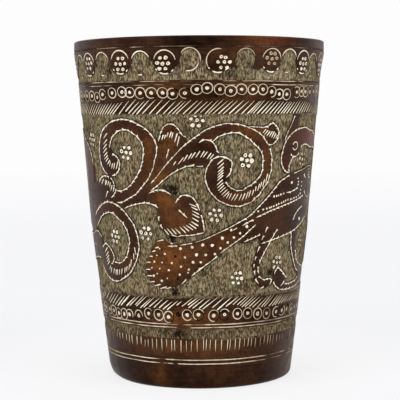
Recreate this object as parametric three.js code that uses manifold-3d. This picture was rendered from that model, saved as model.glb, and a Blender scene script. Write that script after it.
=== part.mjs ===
// Engraved drinking beaker of dark metal: a tapered wall with sunk grounds round a raised frieze of birds,
// scrolls and leaves, turned lines filled with pale paste, and a bottom plate soldered into the foot.
// Millimetres, +Z up. The foot rests on z = 0 and the axis is x = y = 0.
// The wall is drawn unrolled and then wrapped: u runs round it from the front (-Y) towards +X, z runs up,
// and w is the depth from its outer surface, which is w = 0.

import * as THREE from 'three';
import { mergeVertices } from 'three/addons/utils/BufferGeometryUtils.js';
import Module from 'manifold-3d';

const wasm = await Module();
wasm.setup();

// Outer radius at the foot, and how much the wall widens from there to the knee, shoulder and rim
const FOOT_RADIUS = 38.3;
const KNEE_FLARE = 7.6;
const SHOULDER_FLARE = 4.95;
const RIM_FLARE = 1.65;

// Heights of the bands, stacked from the foot to the rim
const FOOT_BAND = 10.4;
const FOOT_LINE_SPACING = 1.6;
const WEDGE_BAND = 8.8;
const STRIP_HEIGHT = 3.9;
const STRIP_TO_LINE = 0.65;
const WAIST_LINE_SPACING = 1.2;
const LOWER_DOT_BAND = 11.65;
const FRIEZE_HEIGHT = 71.4;
const UPPER_DOT_BAND = 11.7;
const SHOULDER_LINE_SPACING = 1.4;
const SCALLOP_TO_LINE = 0.8;
const SCALLOP_BAND = 11.3;
const SCALLOP_TO_RIM_LINE = 0.9;
const LIP_BAND = 4.1;
const KNEE_HEIGHT = 63;

// Wall, lip, foot and base
const WALL = 1.8;
const LIP_ROUNDING = 0.8;
const FOOT_ROUNDING = 1.2;
const FOOT_RING_WIDTH = 3.6;
const BASE_RECESS = 2.4;
const BASE_THICKNESS = 1.6;
const BASE_CLEARANCE = 0.1;
const SOLDER_WIDTH = 1.8;
const SOLDER_CLEARANCE = 0.1;

// Sunk grounds, turned lines and the paste in them
const GROUND_DEPTH = 0.5;
const RELIEF_ROOT = 0.3;
const LINE_WIDTH = 0.7;
const LINE_DEPTH = 0.5;
const PASTE_SINK = 0.04;
const PASTE_CLEARANCE = 0.04;

// Scallops under the rim, in pairs of one dark and one sunk pale scallop
const SCALLOP_PAIRS = 16;
const SCALLOP_WIDTH = 7.8;
const SCALLOP_HEIGHT = 9.0;
const SCALLOP_TOP_MARGIN = 0.3;
const SCALLOP_PHASE_U = 7.2;
const SCALLOP_BASE_STRIP = 2.0;

// Facets: flats round the wall, chords along the frieze outlines and steps round a scallop
const FACETS = 52;
const CHORD = 3.4;
const LEAST_STEP = 0.05;
const SCALLOP_STEPS = 10;

// The sheet that the frieze is drawn on: u in millimetres at DRAWN_RADIUS, z between its two edges
const DRAWN_RADIUS = 46;
const DRAWN_BOTTOM = 38.2;
const DRAWN_TOP = 109.6;
const FULL_TURN_U = 2 * Math.PI * DRAWN_RADIUS;
const SEAM_U = -FULL_TURN_U / 4;
const MIRROR_U = FULL_TURN_U / 4;

// Heights worked out from the stack
const footLineLower = FOOT_BAND;
const footLineUpper = footLineLower + FOOT_LINE_SPACING;
const stripBottom = footLineUpper + WEDGE_BAND;
const stripTop = stripBottom + STRIP_HEIGHT;
const waistLineLower = stripTop + STRIP_TO_LINE;
const waistLineUpper = waistLineLower + WAIST_LINE_SPACING;
const friezeBottom = waistLineUpper + LOWER_DOT_BAND;
const friezeTop = friezeBottom + FRIEZE_HEIGHT;
const shoulderLineLower = friezeTop + UPPER_DOT_BAND;
const shoulderLineUpper = shoulderLineLower + SHOULDER_LINE_SPACING;
const scallopBottom = shoulderLineUpper + SCALLOP_TO_LINE;
const scallopTop = scallopBottom + SCALLOP_BAND;
const rimLine = scallopTop + SCALLOP_TO_RIM_LINE;
const rimTop = rimLine + LIP_BAND;

// Outer radius of the wall at a height
const kneeRadius = FOOT_RADIUS + KNEE_FLARE;
const shoulderRadius = kneeRadius + SHOULDER_FLARE;
const rimRadius = shoulderRadius + RIM_FLARE;
const bends = [
  [0, FOOT_RADIUS],
  [KNEE_HEIGHT, kneeRadius],
  [shoulderLineUpper, shoulderRadius],
  [scallopTop, rimRadius],
  [rimTop, rimRadius],
];

function outerRadius(z) {
  for (let i = 1; i < bends.length; i++) {
    const [z0, r0] = bends[i - 1];
    const [z1, r1] = bends[i];
    if (z <= z1) return r0 + (r1 - r0) * (z - z0) / (z1 - z0);
  }
  return rimRadius;
}

// Solids

function solidOf(geometry) {
  const bare = geometry.clone();
  bare.deleteAttribute('normal');
  bare.deleteAttribute('uv');
  const merged = mergeVertices(bare, 1e-6);
  return new wasm.Manifold(new wasm.Mesh({
    numProp: 3,
    vertProperties: new Float32Array(merged.attributes.position.array),
    triVerts: new Uint32Array(merged.index.array),
  }));
}

function geometryOf(solid) {
  const mesh = solid.getMesh();
  const geometry = new THREE.BufferGeometry();
  geometry.setAttribute('position', new THREE.BufferAttribute(mesh.vertProperties, 3));
  geometry.setIndex(new THREE.BufferAttribute(mesh.triVerts, 1));
  return geometry;
}

// A body turned about Z from a closed profile of [radius, height] points
function turned(profile) {
  const points = profile.map(([r, z]) => new THREE.Vector2(r, z));
  points.push(points[0].clone());
  const geometry = new THREE.LatheGeometry(points, FACETS);
  const position = geometry.attributes.position;
  for (let i = 0; i < position.count; i++) {
    position.setXYZ(i, position.getX(i), -position.getZ(i), position.getY(i));
  }
  return solidOf(geometry);
}

const union = (solids) => wasm.Manifold.union(solids);

// Outlines on the unrolled wall

// A smooth line through [u, z] points, as points about CHORD apart
function smooth(points) {
  const curve = new THREE.SplineCurve(points.map(([u, z]) => new THREE.Vector2(u, z)));
  const steps = Math.max(1, Math.round(curve.getLength() / CHORD));
  return curve.getSpacedPoints(steps);
}

// One closed outline from several smooth lines, which meet in corners
function outline(...lines) {
  const points = lines.flatMap(smooth);
  return points.filter((p, i) => p.distanceTo(points[(i + 1) % points.length]) > LEAST_STEP);
}

// Flat solids, in u, z and w

// A plate over an outline between two depths
function plate(points, low, high) {
  const geometry = new THREE.ExtrudeGeometry(new THREE.Shape(points), {
    depth: high - low,
    bevelEnabled: false,
  });
  geometry.translate(0, 0, low);
  return solidOf(geometry);
}

// A rectangular block
function block(u0, u1, z0, z1, low, high) {
  const geometry = new THREE.BoxGeometry(u1 - u0, z1 - z0, high - low);
  geometry.translate((u0 + u1) / 2, (z0 + z1) / 2, (low + high) / 2);
  return solidOf(geometry);
}

// A bar of one section all round the wall, from the section's [w, z] points
function barAllRound(section) {
  const shape = new THREE.Shape(section.map(([w, z]) => new THREE.Vector2(w, z)));
  const geometry = new THREE.ExtrudeGeometry(shape, { depth: FULL_TURN_U, bevelEnabled: false });
  const position = geometry.attributes.position;
  for (let i = 0; i < position.count; i++) {
    const w = position.getX(i);
    position.setXYZ(i, SEAM_U + FULL_TURN_U - position.getZ(i), position.getY(i), w);
  }
  return solidOf(geometry);
}

// Wrapping: a flat solid is cut at each bend and at each facet, the cut faces are dropped, and what is
// left is placed facet by facet and sewn together along the cuts

const facetU = FULL_TURN_U / FACETS;
const SNAP = 1e-3;
const SEW_TOLERANCE = 1e-7;

const snapped = (value) => Math.round(value / SNAP) * SNAP;
const near = (a, b) => Math.abs(a - b) < SNAP;

// Direction of a facet's corner seen from the axis
function corner(index) {
  const angle = SEAM_U / DRAWN_RADIUS + index / FACETS * Math.PI * 2;
  return new THREE.Vector2(Math.sin(angle), -Math.cos(angle));
}

// A corner of a flat triangle placed on the wall, from [u past the facet's start, z, w]
function placedPoint(facet, [u, z, w]) {
  const flat = corner(facet).lerp(corner((facet + 1) % FACETS), u / facetU);
  flat.multiplyScalar(outerRadius(z) + w);
  return new THREE.Vector3(flat.x, flat.y, z);
}

// A solid cut at planes across one axis, as pieces from the lowest to the highest
function sliced(solid, normal, offsets) {
  const pieces = [];
  let rest = solid;
  for (const offset of offsets) {
    const [beyond, before] = rest.splitByPlane(normal, offset);
    pieces.push(before);
    rest = beyond;
  }
  return [...pieces, rest];
}

// The triangles of one piece, without those on the cuts at [axis, value]
function pieceTriangles(piece, u0, cuts) {
  const { vertProperties, triVerts } = piece.getMesh();
  const corners = [];
  for (let i = 0; i < vertProperties.length; i += 3) {
    const [u, z, w] = vertProperties.subarray(i, i + 3);
    corners.push([u - u0, z, w].map(snapped));
  }
  const triangles = [];
  for (let i = 0; i < triVerts.length; i += 3) {
    const triangle = [...triVerts.subarray(i, i + 3)].map((index) => corners[index]);
    const onCut = cuts.some(([axis, value]) => triangle.every((p) => near(p[axis], value)));
    if (!onCut) triangles.push(triangle);
  }
  return triangles;
}

function wrapped(flat) {
  const points = [];
  const known = new Map();
  const triangles = [];
  const pointIndex = (facet, [u, z, w]) => {
    const [start, past] = near(u, facetU) ? [(facet + 1) % FACETS, 0] : [facet, u];
    const keyAt = (height) => [start, past, w, height].map((value) => value.toFixed(4)).join();
    const found = [z, z - SNAP, z + SNAP].map(keyAt).find((key) => known.has(key));
    if (found) return known.get(found);
    known.set(keyAt(z), points.push(placedPoint(start, [past, z, w])) - 1);
    return known.get(keyAt(z));
  };
  const bendHeights = bends.slice(1, -1).map(([z]) => z);
  const facetEdges = Array.from({ length: FACETS - 1 }, (_, i) => SEAM_U + (i + 1) * facetU);
  const cuts = [[0, 0], [0, facetU], ...bendHeights.map((z) => [1, z])];
  for (const band of sliced(flat, [0, 1, 0], bendHeights)) {
    sliced(band, [1, 0, 0], facetEdges).forEach((piece, facet) => {
      for (const triangle of pieceTriangles(piece, SEAM_U + facet * facetU, cuts)) {
        const indices = triangle.map((point) => pointIndex(facet, point));
        if (new Set(indices).size === 3) triangles.push(indices);
      }
    });
  }
  sew(triangles, points);
  return new wasm.Manifold(new wasm.Mesh({
    numProp: 3,
    vertProperties: new Float32Array(points.flatMap((point) => point.toArray())),
    triVerts: new Uint32Array(triangles.flat()),
  }));
}

// Edges of triangles that no neighbour shares
function looseEdges(triangles) {
  const edges = new Map();
  triangles.forEach((triangle, index) => triangle.forEach((from, place) => {
    edges.set(`${from} ${triangle[(place + 1) % 3]}`, { from, to: triangle[(place + 1) % 3], index, place });
  }));
  return [...edges.values()].filter(({ from, to }) => !edges.has(`${to} ${from}`));
}

// Splits triangles along the cuts wherever a neighbour has a point on the edge between them
function sew(triangles, points) {
  const liesOn = (p, a, b) => p.distanceTo(a) + p.distanceTo(b) < a.distanceTo(b) + SEW_TOLERANCE;
  let split;
  do {
    split = new Set();
    const loose = looseEdges(triangles);
    const ends = [...new Set(loose.flatMap(({ from, to }) => [from, to]))];
    for (const { from, to, index, place } of loose) {
      if (split.has(index)) continue;
      const middle = ends.find((p) => p !== from && p !== to && liesOn(points[p], points[from], points[to]));
      if (middle === undefined) continue;
      const opposite = triangles[index][(place + 2) % 3];
      triangles[index] = [from, middle, opposite];
      triangles.push([middle, to, opposite]);
      split.add(index);
    }
  } while (split.size > 0);
}

// The frieze, drawn by hand on the sheet: one half turn, from the trunk at the left to past the beak

const trunk = outline(
  [[-74, 104], [-66, 103], [-60, 100.3], [-55.5, 96.7], [-52.8, 92.5], [-51.9, 87], [-52.3, 82]],
  [[-48.2, 81.8], [-46.8, 83.5], [-44.3, 84.9], [-41.5, 85.2], [-38.7, 84.4], [-37.2, 82.3], [-36.3, 79.4]],
  [[-34, 77], [-38, 74], [-47, 72.5], [-55, 67.5], [-60, 63.5]],
  [[-66, 64], [-74, 65]],
);

const upperScroll = outline(
  [[-36, 74.7], [-30, 76.3], [-25, 78.9], [-20.1, 84.4], [-17.1, 91], [-16.1, 96.5], [-17.6, 101.2],
    [-21.5, 105], [-26.5, 107.3], [-31.5, 107.9], [-37, 106.5], [-41.3, 104.1], [-44.2, 99.8], [-45.3, 94],
    [-44.4, 89.2], [-41.8, 86.4], [-38, 85.4], [-34.6, 86.8], [-32.9, 90], [-34.2, 93], [-36.7, 94.2]],
  [[-38, 95.8], [-37.8, 97.7], [-35.8, 101], [-32, 103.6], [-27.6, 103.5], [-23.6, 100.8], [-21.6, 96.8],
    [-22, 92], [-24.2, 86.6], [-28, 82], [-32.5, 79.6], [-36.3, 79.4]],
);

const lowerScroll = outline(
  [[-62, 62.8], [-57.5, 66.6], [-52.6, 70.1], [-47, 73.3], [-42, 74.7], [-37, 73.9], [-32.5, 71.4],
    [-28.3, 66.8], [-26.3, 61.5], [-26, 56.9], [-27.6, 52.3], [-30.8, 47.5], [-35.5, 44], [-41.5, 42.1],
    [-46.5, 43], [-50.6, 45.9], [-52.4, 50], [-51.6, 53.5], [-49.5, 56.1], [-46.8, 57.4], [-43.6, 55.8],
    [-41.4, 53.2], [-41.9, 50.4], [-44, 49.1]],
  [[-41, 50.2], [-38.2, 50], [-34.6, 51.7], [-31.9, 55.5], [-30.6, 59.5], [-31.6, 63.6], [-34.8, 67.4],
    [-38.8, 70], [-43, 70.3], [-48.5, 68.1], [-53.5, 64.1], [-57.5, 61.4]],
);

const lowerLeaf = outline(
  [[-74, 60], [-66, 60], [-60, 60.7], [-56, 61.9], [-53.4, 62], [-51.3, 60.8], [-49.6, 59.6]],
  [[-49.9, 55.6], [-52, 53], [-52.2, 50.9]],
  [[-54, 50.9], [-58, 50.8], [-63, 50], [-68, 49], [-74, 48.5]],
);

const heartLeaf = outline(
  [[-30, 75.8], [-27, 74.1], [-22, 75.1], [-18.5, 74.6], [-16.6, 73]],
  [[-16.6, 70], [-16.1, 67.6], [-14.7, 65], [-12.3, 63], [-8.7, 61.9], [-3.5, 62.5], [1.8, 63.6]],
  [[1.8, 63.6], [1.3, 67], [0.4, 71], [-1.1, 75.1], [-2.9, 77.5], [-5, 78.5], [-7.1, 78.2], [-8.5, 76.8],
    [-9.4, 75.3]],
  [[-9.4, 75.3], [-10.9, 78.3], [-12.5, 79.5], [-14.5, 80.3], [-17, 80.1], [-20, 79.2]],
  [[-20, 79.2], [-22.5, 81.5]],
);

const wingLeaf = outline(
  [[-21, 81], [-19.2, 80.3], [-14.5, 83.7], [-10, 87.1], [-5.5, 89.3], [-1.5, 89.9], [3.1, 89.9]],
  [[3.1, 89.9], [5, 92.6], [7, 93.6]],
  [[7, 94.3], [5.9, 97.2], [4.2, 99.6], [1.5, 100]],
);

const rightScroll = outline(
  [[-19.2, 82.6], [-13, 89.7], [-6.5, 96.8], [0, 102], [5, 104.9], [10, 106.1], [15, 105.6],
    [20.5, 103.6], [24.6, 100.8], [27.5, 96.8], [29, 92], [29, 87.5], [27.3, 82.3], [24, 78.2],
    [20.5, 75.4], [15.3, 73.7], [10.3, 74.6], [5.7, 77.5], [2.9, 81.5], [2, 85.5], [3.1, 89.9],
    [5, 92.6], [8, 93.5], [11, 92.1], [12.2, 89], [11.6, 86.6], [10, 85.1]],
  [[10, 83.4], [11.5, 81.4], [14.4, 79.9], [18, 80.7], [22.4, 83.6], [24.8, 87.5], [24.9, 92],
    [22.6, 96.7], [18, 100.5], [13, 102.6], [8, 101.6], [4.6, 99.1]],
);

const bluntLeaf = outline(
  [[-20, 83.5], [-17, 90], [-16.6, 96], [-15.6, 99]],
  [[-15.6, 99], [-14.6, 101.5], [-13.3, 104.7], [-11.3, 106], [-9.3, 105.8], [-7.4, 103.6], [-5.8, 101.3],
    [-4.6, 97.6]],
  [[-6.5, 95.5], [-13, 88.5]],
);

const hookLeaf = outline(
  [[17, 104.6], [20.7, 104.7], [24.2, 104.4], [26.5, 104.9], [28.4, 106.3]],
  [[28.4, 106.3], [30.8, 104.7], [32, 102.3], [31.4, 100], [29.4, 97.8], [26.6, 97.3]],
  [[24.6, 99.8], [19, 103.4]],
);

const birdBody = outline(
  [[-3.2, 59.3], [0, 60.3], [5.5, 62.6], [11, 65.1], [18.2, 68.8], [22.3, 71.7], [27, 76], [31.5, 80.7],
    [35, 83.5], [39, 85.1]],
  [[39, 85.1], [42, 85.8], [46, 86.6], [50, 87.3], [54, 88.2], [58.5, 88.4]],
  [[58.5, 88.4], [62.5, 85.5], [64, 80], [63, 75], [60, 70.5], [55.5, 67.3]],
  [[55.5, 67.3], [51.5, 65], [46, 62.8], [40.5, 61.4], [35, 60.3], [30.5, 59.2], [25.8, 58.6]],
  [[24.9, 61.2], [18, 59.5], [15.5, 60.2]],
  [[15.5, 60.2], [10, 56.6], [4.5, 52.2], [0, 49], [-3.5, 46.4]],
  [[-3.5, 46.4], [-5.8, 44.6], [-9.5, 42], [-13.5, 40.4], [-17.5, 40.7], [-21.5, 42.6], [-23.8, 46],
    [-24, 49.5], [-22.6, 53], [-20.3, 56.8], [-17.6, 60]],
  [[-17.6, 60], [-14.8, 60.5], [-13, 59], [-9, 58.5], [-5.5, 59], [-3.2, 59.3]],
);

const birdHead = outline(
  [[39, 86.3], [36.8, 86.7], [34.6, 88.9], [33.8, 92], [34.6, 96], [37, 100], [40.5, 102.6], [44.5, 103.8],
    [49, 104.1], [54, 102.9], [58, 102.2], [61.5, 100.6], [63.8, 97.8], [64.4, 94.6]],
  [[64.4, 94.6], [61.5, 95.7], [57, 96], [53, 96.6], [50, 97.3], [47.3, 96.9], [45.8, 95.7], [44.7, 93.7],
    [42.8, 92.6], [40.6, 92.6], [39.5, 90.7], [39.3, 88.5], [40, 86.6], [41, 85], [38.8, 84.6]],
);

const birdCrest = outline(
  [[35, 97.6], [37, 103], [39, 106.3], [40.4, 109.6]],
  [[43.9, 109.6], [43.6, 105.5], [43, 102.6], [39, 100.6]],
);

const nearLeg = outline(
  [[26.6, 60.2], [25.2, 57.2], [23.9, 53.8], [23.1, 50], [23.3, 47.6], [24.1, 44.8], [26, 42.2],
    [28.2, 40.4], [30.8, 40.7], [33, 42.2]],
  [[33.2, 43.6], [31, 43.9], [29, 43.5], [27.2, 44.2], [25.8, 45.8], [25.3, 48.5], [26.2, 52], [28, 55.3],
    [31, 60.4]],
);

const farLeg = outline(
  [[43.2, 62.6], [43.5, 58.5], [44.2, 55.5], [46, 52], [48.5, 48.6], [51, 46], [54, 44.2]],
  [[54, 42], [62, 41]],
  [[62.5, 44], [61, 46], [57, 47.1], [54, 47.9], [51.5, 49.2], [49.5, 51.5], [48.3, 54.5], [47.8, 58],
    [48.5, 64.2]],
);

const farFoot = outline(
  [[36.4, 48], [34.8, 46.6], [34, 44.4], [34.3, 42.2], [35.8, 40.3], [38.7, 38.9], [43, 38.5], [50, 38.6],
    [56, 39.4], [61, 41], [63, 44]],
  [[56, 44], [54.2, 42.8], [51.5, 41.3], [46, 40.5], [42, 40.7]],
  [[42, 40.7], [42.2, 43], [40, 45.5], [36.4, 48]],
);

const tailBud = outline(
  [[MIRROR_U - 2.6, 47], [MIRROR_U - 3.4, 53], [MIRROR_U - 2.2, 60], [MIRROR_U, 66]],
  [[MIRROR_U, 66], [MIRROR_U + 2, 66], [MIRROR_U + 2, 47]],
);

const motifs = [
  trunk, upperScroll, lowerScroll, lowerLeaf, heartLeaf, wingLeaf, rightScroll, bluntLeaf, hookLeaf,
  birdBody, birdHead, birdCrest, nearLeg, farLeg, farFoot, tailBud,
];

// A drawn height moved to where the frieze stands on the wall
const friezeZ = (z) => friezeBottom + (z - DRAWN_BOTTOM) * FRIEZE_HEIGHT / (DRAWN_TOP - DRAWN_BOTTOM);

// The motifs as flat plates, with the other half turn as their mirror image
function friezeRelief() {
  const plates = motifs.flatMap((motif) => {
    const front = motif.map((p) => new THREE.Vector2(p.x, friezeZ(p.y)));
    const back = front.map((p) => new THREE.Vector2(2 * MIRROR_U - p.x, p.y));
    return [front, back].map((points) => plate(points, -GROUND_DEPTH - RELIEF_ROOT, 0));
  });
  const frame = block(SEAM_U, SEAM_U + FULL_TURN_U, friezeBottom, friezeTop, -WALL, 0);
  return union(plates).intersect(frame);
}

// The scallops

const scallopPitch = FULL_TURN_U / (2 * SCALLOP_PAIRS);
const scallopCentreZ = scallopTop - SCALLOP_TOP_MARGIN - SCALLOP_HEIGHT / 2;

// A pale scallop: an arch that opens into the strip along the bottom of the band
function scallopArch(centreU) {
  const reach = SCALLOP_WIDTH / 2;
  const arc = new THREE.EllipseCurve(centreU, scallopCentreZ, reach, SCALLOP_HEIGHT / 2, 0, Math.PI);
  const foot = scallopBottom + SCALLOP_BASE_STRIP / 2;
  return [
    ...arc.getPoints(SCALLOP_STEPS),
    new THREE.Vector2(centreU - reach, foot),
    new THREE.Vector2(centreU + reach, foot),
  ];
}

// The sunk part of the scallop band, as a flat cutter
function scallopGround() {
  const stripTop = scallopBottom + SCALLOP_BASE_STRIP;
  const strip = block(SEAM_U - 1, SEAM_U + FULL_TURN_U + 1, scallopBottom, stripTop, -GROUND_DEPTH, 1);
  const arches = [];
  for (let i = -1; i <= SCALLOP_PAIRS; i++) {
    const centreU = SCALLOP_PHASE_U + SEAM_U + (2 * i + 1) * scallopPitch;
    arches.push(plate(scallopArch(centreU), -GROUND_DEPTH, 1));
  }
  return union([strip, ...arches]);
}

// Side wall

// The section's points at a turned line
const lineNotch = (z) => [
  [0, z - LINE_WIDTH / 2],
  [-LINE_DEPTH, z],
  [0, z + LINE_WIDTH / 2],
];

// The section's points at a sunk ground
const sunkBand = (bottom, top) => [
  [0, bottom],
  [-GROUND_DEPTH, bottom],
  [-GROUND_DEPTH, top],
  [0, top],
];

function makeSideWall() {
  const section = [
    [-FOOT_RING_WIDTH, 0],
    [-FOOT_ROUNDING, 0],
    [-FOOT_ROUNDING * 0.3, FOOT_ROUNDING * 0.3],
    [0, FOOT_ROUNDING],
    ...lineNotch(footLineLower),
    ...lineNotch(footLineUpper),
    ...sunkBand(stripBottom, stripTop),
    ...lineNotch(waistLineLower),
    ...lineNotch(waistLineUpper),
    ...sunkBand(friezeBottom, friezeTop),
    ...lineNotch(shoulderLineLower),
    ...lineNotch(shoulderLineUpper),
    ...lineNotch(rimLine),
    [0, rimTop - LIP_ROUNDING],
    [-WALL / 2, rimTop],
    [-WALL, rimTop - LIP_ROUNDING],
    [-WALL, BASE_RECESS],
    [-FOOT_RING_WIDTH, BASE_RECESS],
  ];
  return wrapped(barAllRound(section).add(friezeRelief()).subtract(scallopGround()));
}

// Base plate and its solder

const baseTop = BASE_RECESS + BASE_THICKNESS;

function makeBaseDisc() {
  const radius = outerRadius(BASE_RECESS) - WALL - BASE_CLEARANCE;
  return turned([
    [0, BASE_RECESS],
    [radius, BASE_RECESS],
    [radius, baseTop],
    [0, baseTop],
  ]);
}

function makeSolderRing() {
  const atWall = (z) => outerRadius(z) - WALL - SOLDER_CLEARANCE;
  return turned([
    [atWall(baseTop) - SOLDER_WIDTH, baseTop],
    [atWall(baseTop), baseTop],
    [atWall(baseTop + SOLDER_WIDTH), baseTop + SOLDER_WIDTH],
  ]);
}

// Paste in the turned lines

function makeLinePaste(z) {
  const reach = LINE_WIDTH / 2 * (1 - PASTE_SINK / LINE_DEPTH) - PASTE_CLEARANCE;
  return turned([
    [outerRadius(z) - LINE_DEPTH + 2 * PASTE_CLEARANCE, z],
    [outerRadius(z - reach) - PASTE_SINK, z - reach],
    [outerRadius(z + reach) - PASTE_SINK, z + reach],
  ]);
}

// Materials

const metal = (color, roughness) => new THREE.MeshStandardMaterial({ color, roughness, metalness: 1 });

const wallMetal = metal(0x5a3426, 0.38);
const baseMetal = metal(0x6b4630, 0.45);
const solderMetal = metal(0x8b8378, 0.5);
const linePaste = new THREE.MeshStandardMaterial({ color: 0xe8dcc4, roughness: 0.9, metalness: 0 });

// Assembly

const beaker = new THREE.Group();

function addPart(name, solid, material) {
  const mesh = new THREE.Mesh(geometryOf(solid), material);
  mesh.name = name;
  beaker.add(mesh);
}

addPart('side_wall', makeSideWall(), wallMetal);
addPart('base_disc', makeBaseDisc(), baseMetal);
addPart('base_solder_ring', makeSolderRing(), solderMetal);

const turnedLines = {
  rim_line_paste: rimLine,
  shoulder_line_paste_upper: shoulderLineUpper,
  shoulder_line_paste_lower: shoulderLineLower,
  waist_line_paste_upper: waistLineUpper,
  waist_line_paste_lower: waistLineLower,
  foot_line_paste_upper: footLineUpper,
  foot_line_paste_lower: footLineLower,
};
for (const [name, z] of Object.entries(turnedLines)) addPart(name, makeLinePaste(z), linePaste);

export default beaker;
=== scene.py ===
"""Looks of the engraved beaker: dark metal with matted grounds, a raised frieze and pale paste in the cuts.

The wall is drawn unrolled, in millimetres: u runs round it from the front (-Y) towards +X, z runs up and
w runs out from its outer surface. Everything is then wrapped on the CAD wall's tapered surface, with slow
waves and a worn foot.
"""

import math
import random

import bpy
import numpy as np
from mathutils import Matrix, Vector
from mathutils.geometry import delaunay_2d_cdt


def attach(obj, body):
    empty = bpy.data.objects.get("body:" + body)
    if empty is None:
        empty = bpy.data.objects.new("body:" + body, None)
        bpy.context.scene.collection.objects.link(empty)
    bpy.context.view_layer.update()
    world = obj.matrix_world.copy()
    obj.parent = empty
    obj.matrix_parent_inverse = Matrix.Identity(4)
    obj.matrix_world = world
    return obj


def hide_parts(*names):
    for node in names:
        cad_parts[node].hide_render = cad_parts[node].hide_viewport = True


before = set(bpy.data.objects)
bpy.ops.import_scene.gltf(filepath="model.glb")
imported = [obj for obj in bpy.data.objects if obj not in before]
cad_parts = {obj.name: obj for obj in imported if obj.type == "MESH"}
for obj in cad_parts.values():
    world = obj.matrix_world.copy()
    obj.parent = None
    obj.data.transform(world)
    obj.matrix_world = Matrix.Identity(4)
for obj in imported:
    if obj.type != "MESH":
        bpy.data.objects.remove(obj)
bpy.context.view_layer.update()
chance = random.Random(11)

# The wall's sizes in millimetres. Against the CAD wall the shoulder lines and the lobed border's bottom lie
# a little lower, the grounds are less deep and the foot's edge is rounder

TURN_RADIUS = 46.0
FULL_TURN = 2 * math.pi * TURN_RADIUS
SEAM_U = -FULL_TURN / 4
MIRROR_U = FULL_TURN / 4
BEND_HEIGHTS = [0, 63, 122.7, 134.8, 139.8]
BEND_RADII = [38.3, 45.9, 50.85, 52.5, 52.5]
WALL = 1.8
GROUND = -0.25
GROUND_ROOT = -0.95
FOOT_LINES = [10.4, 12.0]
STRIP = (20.8, 24.7)
WAIST_LINES = [25.35, 26.55]
FRIEZE = (38.2, 109.6)
SHOULDER_LINES = [121.05, 122.45]
SCALLOPS = (122.85, 134.8)
RIM_LINE = 135.7
RIM_TOP = 139.8
FOOT_ROUND = 1.5
LIP_ROUND = 0.8
LEDGE_TOP = 2.4
PLATE_TOP = 4.0

# The wear of the foot's edge: where it is deepest, how far it reaches each way, its depth and its height
WORN_FOOT_U = -60
WORN_FOOT_REACH = 20
WORN_FOOT_DEPTH = 1.4
WORN_FOOT_HEIGHT = 5


def wall_radius(z):
    return np.interp(z, BEND_HEIGHTS, BEND_RADII)


def unevenness(u, z):
    """The slow waves of a wall shaped by hand, the same for all that lies on it"""
    turn = u / TURN_RADIUS
    return (
        0.06 * np.sin(2 * turn + 0.4)
        + 0.05 * np.sin(3 * turn - 1.1 + z / 40)
        + 0.035 * np.sin(5 * turn + z / 17)
        + 0.02 * np.sin(9 * turn - z / 11 + 2)
    )


def worn_foot(u, z):
    """How far the foot's edge is worn away, most at the left"""
    away = (u - WORN_FOOT_U + FULL_TURN / 2) % FULL_TURN - FULL_TURN / 2
    height = np.clip(1 - z / WORN_FOOT_HEIGHT, 0, 1)
    return WORN_FOOT_DEPTH * np.exp(-((away / WORN_FOOT_REACH) ** 2)) * height**1.5


def placed(points):
    """Points (u, z, w) in millimetres as points in the row frame, in metres"""
    u, z, w = np.asarray(points, float).T
    waves = unevenness(u, z) * np.clip((z - FOOT_ROUND) / 4, 0, 1)
    wear = np.where(w > -WALL - 0.1, worn_foot(u, z), 0)
    radius = wall_radius(z) + w + waves - wear
    turn = u / TURN_RADIUS
    return np.column_stack([radius * np.sin(turn), -radius * np.cos(turn), z]) / 1000


# Pieces

SHARP_ANGLE = math.radians(40)


def new_object(name, data):
    made = bpy.data.objects.new(name, data)
    bpy.context.scene.collection.objects.link(made)
    return made


class Piece:
    """Closed shells gathered into one mesh, with a tone for each point"""

    def __init__(self):
        self.points, self.faces, self.slots, self.tones, self.count = [], [], [], [], 0

    def shell(self, points, faces, tone=0.0, slot=0):
        points = np.asarray(points, float)
        self.points.append(points)
        self.faces += [tuple(i + self.count for i in face) for face in faces]
        self.slots += list(slot) if hasattr(slot, "__len__") else [slot] * len(faces)
        self.tones.append(np.broadcast_to(tone, len(points)))
        self.count += len(points)

    def make(self, name, materials, record_slot, stands_for=()):
        points = np.concatenate(self.points)
        tone = np.concatenate(self.tones)
        if record_slot == "line_paste":
            # painted shade on the paste towards the sides, and wear low at the right
            tone = tone + side_shade_and_low_wear(points)
        mesh = bpy.data.meshes.new(name)
        mesh.from_pydata(placed(points).tolist(), [], self.faces)
        for field, values in {"tone": tone, **zones(points)}.items():
            attribute = mesh.attributes.new(field, "FLOAT", "POINT")
            attribute.data.foreach_set("value", values.astype(np.float32))
        mesh.polygons.foreach_set("material_index", self.slots)
        for material in materials:
            mesh.materials.append(material)
        mesh.shade_smooth()
        mesh.set_sharp_from_angle(angle=SHARP_ANGLE)
        piece = new_object(name, mesh)
        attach(piece, "root")
        if stands_for:
            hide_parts(*stands_for)


def front_u(u):
    """u moved to the front half, which the back half mirrors"""
    u = (np.asarray(u) - SEAM_U) % FULL_TURN + SEAM_U
    return np.where(u > MIRROR_U, 2 * MIRROR_U - u, u)


# Where painted shade starts to darken the paste at the sides, in the bands and in the frieze, and where
# it is more worn low at the right
SIDE_SHADE_FROM_U = {"bands": 38, "frieze": 46}
WORN_LOW_FROM_U = 12
WORN_LOW_BELOW = 40
MOST_SIDE_SHADE_AND_WEAR = 0.45


def side_shade_and_low_wear(points):
    """Painted shade on the paste towards the sides, and how much more it is worn low down at the right"""
    u, z = front_u(points[:, 0]), points[:, 1]
    low = np.clip((u - WORN_LOW_FROM_U) / 16, 0, 1) * np.clip((WORN_LOW_BELOW - z) / 3, 0, 1)
    in_bands = (z < FRIEZE[0]) | (z > FRIEZE[1])
    start = np.where(in_bands, SIDE_SHADE_FROM_U["bands"], SIDE_SHADE_FROM_U["frieze"])
    side = np.clip((np.abs(u) - start) / 14, 0, 1)
    return np.minimum(MOST_SIDE_SHADE_AND_WEAR, 0.42 * side + 0.32 * low)


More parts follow.
